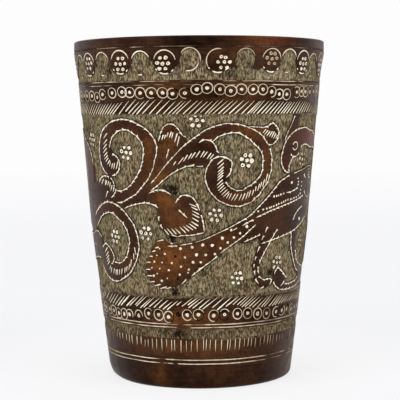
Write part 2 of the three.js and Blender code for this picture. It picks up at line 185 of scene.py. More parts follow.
def patch(u, z, spots):
    """How much of any of the soft round spots (u, z, across, up, strength) covers a point"""
    cover = np.zeros(len(u))
    for su, sz, across, up, strength in spots:
        reach = ((u - su) / across) ** 2 + ((z - sz) / up) ** 2
        cover = np.maximum(cover, strength * np.exp(-reach))
    return cover


# Spots on the front half, as (u, z, across, up, strength): rubbed, reddened and darkened metal, and stained
# and pale grounds; the tall stain spots at the far sides make the grounds darker towards the edges

WARM_SPOTS = [
    (-13, 76, 4, 4, 1.0), (-9, 68, 6, 5, 0.6), (-12, 98, 4, 8, 0.45), (-16, 85, 6, 4, 0.75),
    (-19, 96, 3, 9, 0.5), (-14, 53, 10, 8, 1.0), (-3, 55, 9, 6, 0.4), (9, 60, 7, 5, 0.42),
    (20, 103, 7, 4, 0.6), (15, 77, 9, 3, 0.35), (26, 91, 3, 8, 0.3), (5, 100, 5, 3, 0.3),
    (-8, 113, 14, 5, 0.3), (15, 112, 10, 4, 0.45), (-12, 121, 9, 2, 0.5), (15, 121, 10, 3, 0.35),
    (10, 132, 6, 4, 0.25), (22, 138, 9, 3, 0.4), (-5, 28, 16, 5, 0.65), (-3, 17, 24, 3.5, 0.5),
    (-20, 6, 5, 4, 0.4), (9, 7, 10, 5, 0.12), (-27, 102, 8, 4, 0.2), (-30, 50, 6, 5, 0.3),
]
RED_SPOTS = [
    (50, 100, 6, 4, 0.8), (57, 100, 6, 5, 1.0), (38, 89, 4, 4, 0.3), (27, 138, 9, 3, 0.4),
    (-42, 88, 6, 5, 0.2), (-52, 88, 6, 8, 0.4), (-42, 72, 10, 4, 0.2),
]
DARK_SPOTS = [
    (-2, 137.5, 13, 4, 1.6), (2, 97, 6, 4, 0.85), (-3, 119, 6, 3, 0.7), (5, 120, 12, 4, 0.4),
    (7, 131, 6, 5, 0.6), (-22, 138, 12, 3, 0.6), (6, 138, 8, 3, 0.7), (35, 138, 12, 3, 0.4),
    (0, 112, 80, 3.5, 1.0), (0, 118.5, 80, 3, 0.45), (-2, 114.5, 18, 7, 1.7), (25, 28, 20, 4, 1.0),
    (12, 137.5, 10, 3, 0.75), (0, 34.5, 80, 2.5, 0.75), (0, 5, 60, 7, 0.9), (-12, 7, 3, 4, 0.5),
    (38, 45, 5, 5, 0.6), (-12, 86, 10, 3, 0.6), (6, 80, 5, 5, 0.4), (-36, 74, 7, 2.5, 0.4),
    (30, 60.5, 8, 2, 0.3), (-12, 34, 4, 4, 0.5), (-5, 94, 6, 4, 0.5), (-46, 77, 8, 5, 0.4),
    (2, 130, 12, 6, 0.9),
]
STAIN_SPOTS = [
    (-10.4, 80.2, 2.6, 2.4, 1.5), (-13, 82, 3, 1.5, 0.6), (-10.9, 61.2, 1.4, 1.5, 1.8),
    (-10.7, 39.6, 1.7, 1.9, 1.9), (-9.5, 22.5, 2.6, 1.8, 1.3), (32, 46.6, 1.5, 1.5, 2.0),
    (24, 44.5, 1.5, 1.3, 1.2), (29, 42.3, 2.5, 1.2, 0.9), (1, 47.3, 1.6, 1.2, 1.2),
    (19, 41.3, 3, 1.4, 0.35), (6, 41, 3, 1.4, 0.25), (-15, 23, 3, 1.6, 0.4), (22, 87.5, 1.6, 1.8, 0.7),
    (31.5, 91.3, 1.6, 0.5, 0.8), (-20, 92, 2, 4, 0.3), (33, 76, 3, 4, 0.25), (-60, 60, 8, 20, 0.4),
    (-65, 85, 4, 30, 0.5), (-55, 104, 5, 4, 0.6), (65, 75, 5, 40, 0.6), (60, 100, 6, 8, 0.3),
    (51, 91.5, 6, 3, 0.35), (12, 77, 10, 4, 0.4), (4, 75, 4, 3, 0.3), (-2, 106, 5, 2, 0.3),
    (8, 67, 6, 5, 0.15), (3, 104, 13, 5, 0.28), (8, 129, 8, 7, 0.3), (13, 76, 9, 5, 0.35),
    (-46, 69, 8, 6, 0.25), (-33, 93.5, 4, 4, 0.35), (-35.5, 127, 1.4, 3, 0.9), (-25, 128, 1.2, 2, 0.6),
    (-7.5, 129, 1.5, 3, 0.8), (12, 128, 2, 3, 0.8), (17.5, 129, 1.5, 2, 0.5), (10.5, 125.5, 2, 2.5, 0.8),
    (62, 52, 10, 14, 0.4), (60, 128, 9, 8, 0.35), (-62, 108, 9, 10, 0.3),
]
PALE_SPOTS = [
    (28, 125, 13, 5, 1.0), (36, 131, 4, 4, 0.8), (-5, 124.5, 8, 3, 0.9), (-25, 127, 5, 4, 0.4),
    (10, 107.5, 16, 2.5, 1.0), (-24, 108.5, 7, 2, 1.0), (32, 37.5, 8, 3, 0.8), (-8, 38, 10, 2, 0.4),
    (20, 52, 6, 8, 0.4), (27, 78, 4, 4, 0.5), (-40, 44, 9, 5, 0.3), (18, 20, 13, 3, 1.0),
    (40, 54, 5, 5, 0.3), (31.5, 90, 3, 5, 0.4),
]


# Painted shade beside the raised figures, partly dirt: how far it reaches, how strong it is, and the cap with
# the stains
EDGE_SHADE_AND_DIRT_REACH = 0.8
EDGE_SHADE_AND_DIRT_STRENGTH = 0.8
MOST_STAIN_AND_SHADE = 2


def edge_shade_and_dirt(u, z):
    """Painted shade on the grounds along the raised figures, partly dirt gathered there"""
    beyond = np.full(len(z), 2.0)
    on_frieze = (z > FRIEZE[0] - 0.1) & (z < FRIEZE[1] + 0.1)
    on_scallops = (z > SCALLOPS[0] - 0.1) & (z < SCALLOPS[1] + 0.1)
    full_u = (u - SEAM_U) % FULL_TURN + SEAM_U
    beyond[on_frieze] = front_figures.at(front_u(u)[on_frieze], z[on_frieze]) - FIGURE_LEVEL
    beyond[on_scallops] = scallop_field.at(full_u[on_scallops], z[on_scallops])
    return np.clip(1 - beyond / EDGE_SHADE_AND_DIRT_REACH, 0, 1)


def zones(points):
    """The fields that vary the look over the wall, by name"""
    u, z = front_u(points[:, 0]), points[:, 1]
    # real stains and the painted shade along the raised figures, in one field
    stain_and_shade = np.maximum(patch(u, z, STAIN_SPOTS), EDGE_SHADE_AND_DIRT_STRENGTH * edge_shade_and_dirt(points[:, 0], z))
    return {
        "warm": patch(u, z, WARM_SPOTS),
        "red": patch(u, z, RED_SPOTS),
        "dark": patch(u, z, DARK_SPOTS),
        "stain_and_shade": np.minimum(MOST_STAIN_AND_SHADE, stain_and_shade),
        "pale": patch(u, z, PALE_SPOTS),
    }


# Shells


def grid_faces(rows, columns, closed_rows=False, closed_columns=False):
    """Faces between the points of a grid, given row by row"""
    faces = []
    for i in range(rows if closed_rows else rows - 1):
        for j in range(columns if closed_columns else columns - 1):
            a, b = i * columns + j, i * columns + (j + 1) % columns
            c, d = (i + 1) % rows * columns + (j + 1) % columns, (i + 1) % rows * columns + j
            faces.append((a, b, c, d))
    return faces


def around(columns):
    """Values of u all round, the last one next to the first"""
    return SEAM_U + FULL_TURN * np.arange(columns) / columns


def turned(piece, section, columns, slots=0):
    """A closed body turned all round, from its section's (z, w) points, upwards along the outside"""
    points = np.empty((len(section), columns, 3))
    points[:, :, 0] = around(columns)
    points[:, :, 1:] = np.asarray(section, float)[:, None, :]
    faces = grid_faces(len(section), columns, closed_rows=True, closed_columns=True)
    if not np.isscalar(slots):
        slots = np.repeat(slots, columns)
    piece.shell(points.reshape(-1, 3), faces, slot=slots)


def dense(path, step=1.9):
    """A path with points at most a step apart"""
    out = [np.asarray(path[0], float)]
    for a, b in zip(path, path[1:]):
        a, b = np.asarray(a, float), np.asarray(b, float)
        parts = max(1, math.ceil(np.hypot(*(b - a)[:2]) / step))
        out += [a + (b - a) * (i + 1) / parts for i in range(parts)]
    return np.array(out)


def unit_normals(along):
    """Unit vectors to the left of the directions along a line"""
    along = along / np.maximum(np.hypot(*along.T), 1e-9)[:, None]
    return np.column_stack([-along[:, 1], along[:, 0]])


def ribbon(piece, path, left, right, top, root, tone=0.0):
    """A closed bar along a path of (u, z), with its reach to the left and right at each point"""
    path = np.asarray(path, float)
    side = unit_normals(np.gradient(path, axis=0))
    a, b = path + side * np.asarray(left)[:, None], path - side * np.asarray(right)[:, None]
    count = len(path)
    rows = []
    for edge, height in ((a, top), (b, top), (b, root), (a, root)):
        rows.append(np.column_stack([edge, np.full(count, height)]))
    faces = [face[::-1] for face in grid_faces(4, count, closed_rows=True)]
    faces.append(tuple(row * count for row in range(4)))
    faces.append(tuple(row * count + count - 1 for row in (3, 2, 1, 0)))
    piece.shell(np.concatenate(rows), faces, tone)


def disc(piece, u, z, reach, top, root, tone=0.0, sides=14, dome=0.05, ragged=0.06):
    """A pellet of paste with a slightly raised middle"""
    turn = 2 * math.pi * np.arange(sides) / sides
    first, second = chance.uniform(0, 6), chance.uniform(0, 6)
    wave = 1 + ragged * np.sin(2 * turn + first) + ragged * np.sin(3 * turn + second)
    edge = np.column_stack([u + reach * wave * np.cos(turn), z + reach * wave * np.sin(turn)])
    inner = np.array([[u, z]]) + (edge - [[u, z]]) * 0.55
    points = [np.column_stack([edge, np.full(sides, root)]), np.column_stack([edge, np.full(sides, top)])]
    points += [np.column_stack([inner, np.full(sides, top + dome)]), np.array([[u, z, top + dome]])]
    faces = grid_faces(3, sides, closed_columns=True)
    faces += [(2 * sides + i, 2 * sides + (i + 1) % sides, 3 * sides) for i in range(sides)]
    faces.append(tuple(range(sides))[::-1])
    piece.shell(np.concatenate(points), faces, tone)


def ring(piece, u, z, reach, widths, top, root, tone=0.0, gap=None):
    """A ring punched round (u, z), its width wandering between two values, open over gap (start, end)"""
    start, end = gap if gap else (0, 360)
    if gap:
        start, end = gap[1], gap[0] + 360
    steps = max(8, round((end - start) / 12))
    turn = np.radians(np.linspace(start, end, steps + 1))
    low, high = widths
    wave = low + (high - low) * (0.5 + 0.5 * np.sin(turn + chance.uniform(0, 6.3)))
    if gap:
        wave = wave * np.minimum(1, np.minimum(np.arange(steps + 1), np.arange(steps + 1)[::-1]) / 2 + 0.3)
    oval = 1 + 0.03 * np.sin(2 * turn + chance.uniform(0, 6))
    centre = np.array([u, z])
    out = np.column_stack([np.cos(turn), np.sin(turn)])
    a = centre + out * (reach * oval + wave / 2)[:, None]
    b = centre + out * (reach * oval - wave / 2)[:, None]
    if not gap:
        a, b = a[:-1], b[:-1]
    count = len(a)
    rows = [np.column_stack([e, np.full(count, h)]) for e, h in ((a, root), (a, top), (b, top), (b, root))]
    faces = grid_faces(4, count, closed_rows=True, closed_columns=not gap)
    if gap:
        faces.append(tuple(row * count for row in (3, 2, 1, 0)))
        faces.append(tuple(row * count + count - 1 for row in range(4)))
    piece.shell(np.concatenate(rows), faces, tone)


# Paste, and round it a dark band that paints the shade in the chisel groove; the same dark piece
# holds hollows that have lost their paste

SURFACE_TOP = 0.035
SHADE_AND_HOLLOW_TOP = 0.012
PASTE_ROOT = -0.3
ON_GROUND = GROUND + 0.06
paste, hollows_and_shade = Piece(), Piece()


def tone_of_paste(low=0.0, high=0.35):
    return chance.uniform(low, high) ** 1.5


def cut(path, start, end, base=0.0, shade_and_dirt=0.14, tone=None, barb=0.0):
    """One chisel cut from a thin start to a wide end, filled with paste; a barb above 0 is to the left"""
    path = dense(path)
    if len(path) < 4:
        path = dense(path, np.hypot(*(path[-1] - path[0])) / 4 + 1e-6)
    share = np.linspace(0, 1, len(path))
    reach = (start + (end - start) * np.minimum(1, share / 0.85)) / 2
    reach[0] *= 0.5
    reach[-1] *= 0.8
    left, right = reach.copy(), reach.copy()
    left[-1] += max(barb, 0)
    right[-1] += max(-barb, 0)
    tone = tone_of_paste() if tone is None else tone
    ribbon(paste, path, left, right, base + SURFACE_TOP, base + PASTE_ROOT, tone)
    # a wider dark ribbon under the paste paints the shade in the chisel groove, with some dirt
    if shade_and_dirt:
        ribbon(hollows_and_shade, path, left + shade_and_dirt, right + shade_and_dirt, base + SHADE_AND_HOLLOW_TOP, base + PASTE_ROOT, tone)


def hollow(u, z, reach):
    """A round hollow that has lost its paste"""
    disc(hollows_and_shade, u, z, reach, SHADE_AND_HOLLOW_TOP, PASTE_ROOT, dome=0.0)


def dot(u, z, across, base=0.0, shade_and_dirt=0.16, tone=None, pricked=0.0):
    """A dot of paste; pricked is how likely it is to have a small dark hole near its middle"""
    tone = tone_of_paste() if tone is None else tone
    disc(paste, u, z, across / 2, base + SURFACE_TOP - 0.02, base + PASTE_ROOT, tone)
    # a wider dark disc under the dot paints the shade of its groove
    if shade_and_dirt:
        disc(hollows_and_shade, u, z, across / 2 + shade_and_dirt, base + SHADE_AND_HOLLOW_TOP, base + PASTE_ROOT, tone, dome=0.0)
    if chance.random() < pricked:
        at = (u + chance.uniform(-0.15, 0.15), z + chance.uniform(-0.15, 0.15))
        top = base + SURFACE_TOP + 0.04
        disc(hollows_and_shade, *at, across * 0.17, top, base + PASTE_ROOT, tone, sides=8, dome=0.0)


def both(mark):
    """Makes a mark of the frieze on the front and, mirrored, on the back"""
    mark(lambda u: u, 1)
    mark(lambda u: 2 * MIRROR_U - u, -1)


# The frieze, drawn as outlines of the raised figures, each of smooth lines that meet in corners


SPLINE_STEP = 0.6


def smooth(points):
    """A Catmull-Rom spline through points, as points a step apart; two points give a straight line"""
    points = np.asarray(points, float)
    if len(points) == 2:
        return dense(points, SPLINE_STEP)
    ends = np.vstack([2 * points[0] - points[1], points, 2 * points[-1] - points[-2]])
    out = [points[0]]
    for p0, p1, p2, p3 in zip(ends, ends[1:], ends[2:], ends[3:]):
        slope = p2 - p0
        square = 2 * p0 - 5 * p1 + 4 * p2 - p3
        cube = 3 * p1 - p0 - 3 * p2 + p3
        parts = max(1, round(float(np.hypot(*(p2 - p1))) / SPLINE_STEP))
        for t in (np.arange(parts) + 1) / parts:
            out.append(0.5 * (2 * p1 + slope * t + square * t**2 + cube * t**3))
    return np.array(out)


MOTIFS = {
    "trunk": [
        [(-74, 104), (-66, 103), (-60, 100.3), (-55.5, 96.7), (-52.8, 92.5), (-51.9, 87), (-52.3, 82)],
        [(-48.2, 81.8), (-46.8, 83.5), (-44.3, 84.9), (-41.5, 85.2), (-38.7, 84.4), (-37.2, 82.3),
         (-36.3, 79.4)],
        [(-34, 77), (-38, 74), (-47, 72.5), (-55, 67.5), (-60, 63.5)],
        [(-66, 64), (-74, 65)],
    ],
    "upper_scroll": [
        [(-36, 74.7), (-30, 76.3), (-25, 78.9), (-20.1, 84.4), (-17.1, 91), (-16.1, 96.5), (-17.6, 101.2),
         (-21.5, 105), (-26.5, 107.3), (-31.5, 107.9), (-37, 106.5), (-41.3, 104.1), (-44.2, 99.8),
         (-45.3, 94), (-44.4, 89.2), (-41.8, 86.4), (-38, 85.4), (-34.6, 86.8), (-32.9, 90), (-34.2, 93),
         (-36.7, 94.2)],
        [(-38, 95.8), (-37.8, 97.7), (-35.8, 101), (-32, 103.6), (-27.6, 103.5), (-23.6, 100.8),
         (-21.6, 96.8), (-22, 92), (-24.2, 86.6), (-28, 82), (-32.5, 79.6), (-36.3, 79.4)],
    ],
    "lower_scroll": [
        [(-62, 62.8), (-57.5, 66.6), (-52.6, 70.1), (-47, 73.3), (-42, 74.7), (-37, 73.9), (-32.5, 71.4),
         (-28.3, 66.8), (-26.3, 61.5), (-26, 56.9), (-27.6, 52.3), (-30.8, 47.5), (-35.5, 44),
         (-41.5, 42.1), (-46.5, 43), (-50.6, 45.9), (-52.4, 50), (-51.6, 53.5), (-49.5, 56.1),
         (-46.8, 57.4), (-43.6, 55.8), (-41.4, 53.2), (-41.9, 50.4), (-44, 49.1)],
        [(-41, 50.2), (-38.2, 50), (-34.6, 51.7), (-31.9, 55.5), (-30.6, 59.5), (-31.6, 63.6),
         (-34.8, 67.4), (-38.8, 70), (-43, 70.3), (-48.5, 68.1), (-53.5, 64.1), (-57.5, 61.4)],
    ],
    "lower_leaf": [
        [(-74, 60), (-66, 60), (-60, 60.7), (-56, 61.9), (-53.4, 62), (-51.3, 60.8), (-49.6, 59.6)],
        [(-49.9, 55.6), (-52, 53), (-52.2, 50.9)],
        [(-54, 50.9), (-58, 50.8), (-63, 50), (-68, 49), (-74, 48.5)],
    ],
    "heart_leaf": [
        [(-34, 74.8), (-32.4, 72.8), (-30, 73.4), (-26, 74.5), (-22, 75.1), (-18.5, 74.6), (-16.6, 73)],
        [(-16.6, 70), (-16.1, 67.6), (-14.7, 65), (-12.3, 63), (-8.7, 61.9), (-3.5, 62.5), (1.8, 63.6)],
        [(1.8, 63.6), (1.3, 67), (0.4, 71), (-1.1, 75.1), (-2.9, 77.5), (-5, 78.5), (-7.1, 78.2),
         (-8.5, 76.8), (-9.4, 75.3)],
        [(-9.4, 75.3), (-10.9, 78.3), (-12.5, 79.5), (-14.5, 80.3), (-17, 80.1), (-20, 79.2)],
        [(-20, 79.2), (-22.5, 81.5)],
    ],
    "wing_leaf": [
        [(-21, 81), (-19.2, 80.3), (-14.5, 83.7), (-10, 87.1), (-5.5, 89.3), (-1.5, 89.9), (3.1, 89.9)],
        [(3.1, 89.9), (5, 92.6), (7, 93.6)],
        [(7, 94.3), (5.9, 97.2), (4.2, 99.6), (1.5, 100)],
    ],
    "right_scroll": [
        [(-19.2, 82.6), (-13, 89.7), (-6.5, 96.8), (0, 102), (5, 104.9), (10, 106.1), (15, 105.6),
         (20.5, 103.6), (24.6, 100.8), (27.5, 96.8), (29, 92), (29, 87.5), (27.3, 82.3), (24, 78.2),
         (20.5, 75.4), (15.3, 73.7), (10.3, 74.6), (5.7, 77.5), (2.9, 81.5), (2, 85.5), (3.1, 89.9),
         (5, 92.6), (8, 93.5), (11, 92.1), (12.2, 89), (11.6, 86.6), (10, 85.1)],
        [(10, 83.4), (11.5, 81.4), (14.4, 79.9), (18, 80.7), (22.4, 83.6), (24.8, 87.5), (24.9, 92),
         (22.6, 96.7), (18, 100.5), (13, 102.6), (8, 101.6), (4.6, 99.1)],
    ],
    "blunt_leaf": [
        [(-20, 83.5), (-17, 90), (-16.6, 96), (-15.6, 99)],
        [(-15.6, 99), (-14.6, 101.5), (-13.3, 104.7), (-11.3, 106), (-9.3, 105.8), (-7.4, 103.6),
         (-5.8, 101.3), (-4.6, 97.6)],
        [(-6.5, 95.5), (-13, 88.5)],
    ],
    "hook_leaf": [
        [(17, 104.6), (20.7, 104.7), (24.2, 104.4), (26.5, 104.9), (28.4, 106.3)],
        [(28.4, 106.3), (30.8, 104.7), (32, 102.3), (31.4, 100), (29.4, 97.8), (26.6, 97.3)],
        [(24.6, 99.8), (19, 103.4)],
    ],
    "bird_body": [
        [(-3.2, 59.3), (0, 60.3), (5.5, 62.6), (11, 65.1), (18.2, 68.8), (22.3, 71.7), (27, 76),
         (31.5, 80.7), (35, 83.5), (39, 85.1)],
        [(39, 85.1), (42, 85.8), (46, 86.6), (50, 87.3), (54, 88.2), (58.5, 88.4)],
        [(58.5, 88.4), (62.5, 85.5), (64, 80), (63, 75), (60, 70.5), (55.5, 67.3)],
        [(55.5, 67.3), (51.5, 65), (46, 62.8), (40.5, 61.4), (35, 60.3), (30.5, 59.2), (25.8, 58.6)],
        [(24.9, 61.2), (18, 59.5), (15.5, 60.2)],
        [(15.5, 60.2), (10, 56.6), (4.5, 52.2), (0, 49), (-3.5, 46.4)],
        [(-3.5, 46.4), (-5.8, 44.7), (-9.5, 42.8), (-13.5, 41.7), (-17.5, 42), (-20.6, 43.6),
         (-22.4, 46.4), (-22.7, 49.5), (-21.5, 53), (-19.5, 56.7), (-17.6, 60)],
        [(-17.6, 60), (-14.8, 60.5), (-13, 59), (-9, 58.5), (-5.5, 59), (-3.2, 59.3)],
    ],
    "bird_head": [
        [(39, 86.3), (36.8, 86.7), (34.6, 88.9), (33.8, 92), (34.6, 96), (37, 100), (40.5, 102.6),
         (44.5, 103.8), (49, 104.1), (54, 102.9), (58, 102.2), (61.5, 100.6), (63.8, 97.8), (64.4, 94.6)],
        [(64.4, 94.6), (61.5, 95.7), (57, 96), (53, 96.6), (50, 97.3), (47.3, 96.9), (45.8, 95.7),
         (44.7, 93.7), (42.8, 92.6), (40.6, 92.6), (39.5, 90.7), (39.3, 88.5), (40, 86.6), (41, 85),
         (38.8, 84.6)],
    ],
    "bird_crest": [
        [(35, 97.6), (37, 103), (39, 106.3), (40.4, 109.6)],
        [(43.9, 109.6), (43.6, 105.5), (43, 102.6), (39, 100.6)],
    ],
    "near_leg": [
        [(26.6, 60.2), (25.2, 57.2), (23.9, 53.8), (23.1, 50), (23.3, 47.6), (24.1, 44.8), (26, 42.2),
         (28.2, 40.4), (30.8, 40.7), (33, 42.2)],
        [(33.2, 43.6), (31, 43.9), (29, 43.5), (27.2, 44.2), (25.8, 45.8), (25.3, 48.5), (26.2, 52),
         (28, 55.3), (31, 60.4)],
    ],
    "far_leg": [
        [(43.2, 62.6), (43.5, 58.5), (44.2, 55.5), (46, 52), (48.5, 48.6), (51, 46), (54, 44.2)],
        [(54, 42), (62, 41)],
        [(62.5, 44), (61, 46), (57, 47.1), (54, 47.9), (51.5, 49.2), (49.5, 51.5), (48.3, 54.5),
         (47.8, 58), (48.5, 64.2)],
    ],
    "far_foot": [
        [(36.4, 48), (34.8, 46.6), (34, 44.4), (34.3, 42.2), (35.8, 40.3), (38.7, 38.9), (43, 38.5),
         (50, 38.6), (56, 39.4), (61, 41), (63, 44)],
        [(56, 44), (54.2, 42.8), (51.5, 41.3), (46, 40.5), (42, 40.7)],
        [(42, 40.7), (42.2, 43), (40, 45.5), (36.4, 48)],
    ],
    "bud": [
        [(MIRROR_U - 2.6, 47), (MIRROR_U - 3.4, 53), (MIRROR_U - 2.2, 60), (MIRROR_U, 66)],
        [(MIRROR_U, 66), (MIRROR_U + 2, 66), (MIRROR_U + 2, 47)],
    ],
}


# Raised plates: the outlines are united as a field of distances, which is then contoured and triangulated

CELL = 0.2
FAR = 1.4


class Field:
    """Distances outside (+) and inside (-) of the figures, on a grid over u0 to u1 and z0 to z1"""

    def __init__(self, u0, u1, z0, z1):
        self.us = np.arange(u0, u1 + CELL / 2, CELL)
        self.zs = np.arange(z0, z1 + CELL / 2, CELL)
        self.values = np.full((len(self.zs), len(self.us)), FAR)

    def add_outline(self, points):
        lows, highs = points.min(0) - FAR, points.max(0) + FAR
        rows = slice(*np.searchsorted(self.zs, (lows[1], highs[1])))
        columns = slice(*np.searchsorted(self.us, (lows[0], highs[0])))
        u, z = np.meshgrid(self.us[columns], self.zs[rows])
        far = np.full(u.shape, FAR)
        inside = np.zeros(u.shape, bool)
        for (au, az), (bu, bz) in zip(points, np.roll(points, -1, axis=0)):
            du, dz = bu - au, bz - az
            share = np.clip(((u - au) * du + (z - az) * dz) / (du * du + dz * dz + 1e-12), 0, 1)
            far = np.minimum(far, np.hypot(u - au - share * du, z - az - share * dz))
            if az != bz:
                inside ^= ((az > z) != (bz > z)) & (u < au + (z - az) * du / dz)
        self.values[rows, columns] = np.minimum(self.values[rows, columns], np.where(inside, -far, far))

    def at(self, u, z):
        i = np.clip(np.round((np.asarray(z) - self.zs[0]) / CELL).astype(int), 0, len(self.zs) - 1)
        j = np.clip(np.round((np.asarray(u) - self.us[0]) / CELL).astype(int), 0, len(self.us) - 1)
        return self.values[i, j]

    def contours(self, level):
        """Closed lines where the field has a level, with the figures to their left"""
        values = np.pad(self.values, 1, constant_values=FAR)
        inside = values < level
        mixed = inside[:-1, :-1].astype(int) + inside[1:, :-1] + inside[:-1, 1:] + inside[1:, 1:]
        links = {}
        for i, j in zip(*np.nonzero((mixed > 0) & (mixed < 4))):
            corners = [(i, j), (i, j + 1), (i + 1, j + 1), (i + 1, j)]
            state = [inside[c] for c in corners]
            crossings = []
            for k in range(4):
                a, b = corners[k], corners[(k + 1) % 4]
                if state[k] != state[(k + 1) % 4]:
                    crossings.append(((min(a, b), max(a, b)), state[k]))
            if not crossings[0][1]:
                crossings = crossings[1:] + crossings[:1]
            for (leave, _), (enter, _) in zip(crossings[::2], crossings[1::2]):
                links[leave] = enter
        loops = []
        while links:
            first, edge = links.popitem()
            loop = [first, edge]
            while edge in links:
                edge = links.pop(edge)
                loop.append(edge)
            points = []
            for a, b in loop[:-1]:
                share = (level - values[a]) / (values[b] - values[a])
                row, column = np.array(a) + (np.array(b) - a) * share - 1
                points.append((self.us[0] + column * CELL, self.zs[0] + row * CELL))
            loops.append(np.array(points))
        return loops


def resampled(loop, step):
    """A closed line rounded a little and given points a step apart"""
    for _ in range(ROUNDINGS):
        loop = (np.roll(loop, 1, axis=0) + 2 * loop + np.roll(loop, -1, axis=0)) / 4
    closed = np.vstack([loop, loop[:1]])
    along = np.concatenate([[0], np.cumsum(np.hypot(*np.diff(closed, axis=0).T))])
    count = max(8, round(along[-1] / step))
    at = along[-1] * np.arange(count) / count
    return np.column_stack([np.interp(at, along, closed[:, k]) for k in (0, 1)])


def inset(loop, by):
    """A closed line moved to its left, into the figure it runs round"""
    return loop + unit_normals(np.roll(loop, -1, axis=0) - np.roll(loop, 1, axis=0)) * by


# The plates' eased edge, root and sides, and the spacing of the points on and inside their outlines
EASE = 0.28
EDGE_DROP = 0.12
PLATE_ROOT = -0.8
SIDE_SPREAD = 0.1
SIDE_FOOT = GROUND - 0.08
OUTLINE_STEP = 0.5
INNER_STEP = 1.5
ROW_SHARE = 0.87
RIPPLE = 0.01
ROUNDINGS = 3
FEWEST_POINTS = 12


def triangulated(loops, field, level):
    """Triangles inside closed lines, with free points along them and at a spacing between them

    Gives the points, the triangles and each line's indices.
    """
    points, faces = [], []
    for loop in loops:
        start = len(points)
        points += loop.tolist()
        indices = list(range(start, len(points)))
        area = np.sum(loop[:, 0] * np.roll(loop[:, 1], -1) - loop[:, 1] * np.roll(loop[:, 0], -1))
        faces.append(indices if area > 0 else indices[::-1])
    for loop in loops:
        eased = inset(loop, EASE)
        points += eased[field.at(*eased.T) < level - 0.75 * EASE].tolist()
    row, z = 0, field.zs[0]
    while z < field.zs[-1]:
        us = np.arange(field.us[0] + (row % 2) * INNER_STEP / 2, field.us[-1], INNER_STEP)
        keep = field.at(us, np.full(len(us), z)) < level - EASE - INNER_STEP * 0.35
        points += [(u, z) for u in us[keep]]
        row, z = row + 1, z + INNER_STEP * ROW_SHARE
    found = delaunay_2d_cdt([Vector(p) for p in points], [], faces, 0, 1e-7, True)
    out, triangles, from_points, from_faces = found[0], found[2], found[3], found[5]
    inside = [t for t, held in zip(triangles, from_faces) if len(held) % 2 == 1]
    place = {}
    for index, sources in enumerate(from_points):
        for source in sources:
            place[source] = index
    rings, start = [], 0
    for loop in loops:
        rings.append([place[start + i] for i in range(len(loop))])
        start += len(loop)
    return np.array([tuple(p) for p in out]), inside, rings


def raised_plate(piece, field, level):
    """The figures of a field as plates with eased edges, whose sides are in slot 1, where a dark material
    paints their shade
    """
    loops = []
    for loop in field.contours(level):
        if len(loop) > FEWEST_POINTS:
            loop = resampled(loop, OUTLINE_STEP)
            # the slight ripple keeps long slivers out of straight edges
            loops.append(inset(loop, (RIPPLE * np.sin(np.arange(len(loop))))[:, None]))
    flat, triangles, rings = triangulated(loops, field, level)
    count = len(flat)
    heights = np.zeros(count)
    for indices in rings:
        heights[indices] = -EDGE_DROP
    points = [np.column_stack([flat, heights]), np.column_stack([flat, np.full(count, PLATE_ROOT)])]
    faces = [tuple(t) for t in triangles] + [tuple(i + count for i in t[::-1]) for t in triangles]
    slots = [0] * len(faces)
    start = 2 * count
    for loop, indices in zip(loops, rings):
        size = len(loop)
        points.append(np.column_stack([inset(loop, -SIDE_SPREAD), np.full(size, SIDE_FOOT)]))
        levels = [indices, list(range(start, start + size)), [i + count for i in indices]]
        start += size
        for upper, lower in zip(levels, levels[1:]):
            for k in range(size):
                n = (k + 1) % size
                faces.append((upper[k], lower[k], lower[n], upper[n]))
                slots.append(1)
    piece.shell(np.concatenate(points), faces, 0.0, slots)


front_figures = Field(SEAM_U, MIRROR_U, *FRIEZE)
for lines in MOTIFS.values():
    front_figures.add_outline(np.concatenate([smooth(line) for line in lines]))
figures = Field(SEAM_U, SEAM_U + FULL_TURN, *FRIEZE)
mirrored = np.hstack([front_figures.values, front_figures.values[:, ::-1]])
figures.values = mirrored[:, : len(figures.us)]
# How much fuller than drawn the figures are
FIGURE_LEVEL = 0.36


# The chisel lines of the frieze, each a chain of cuts between its points

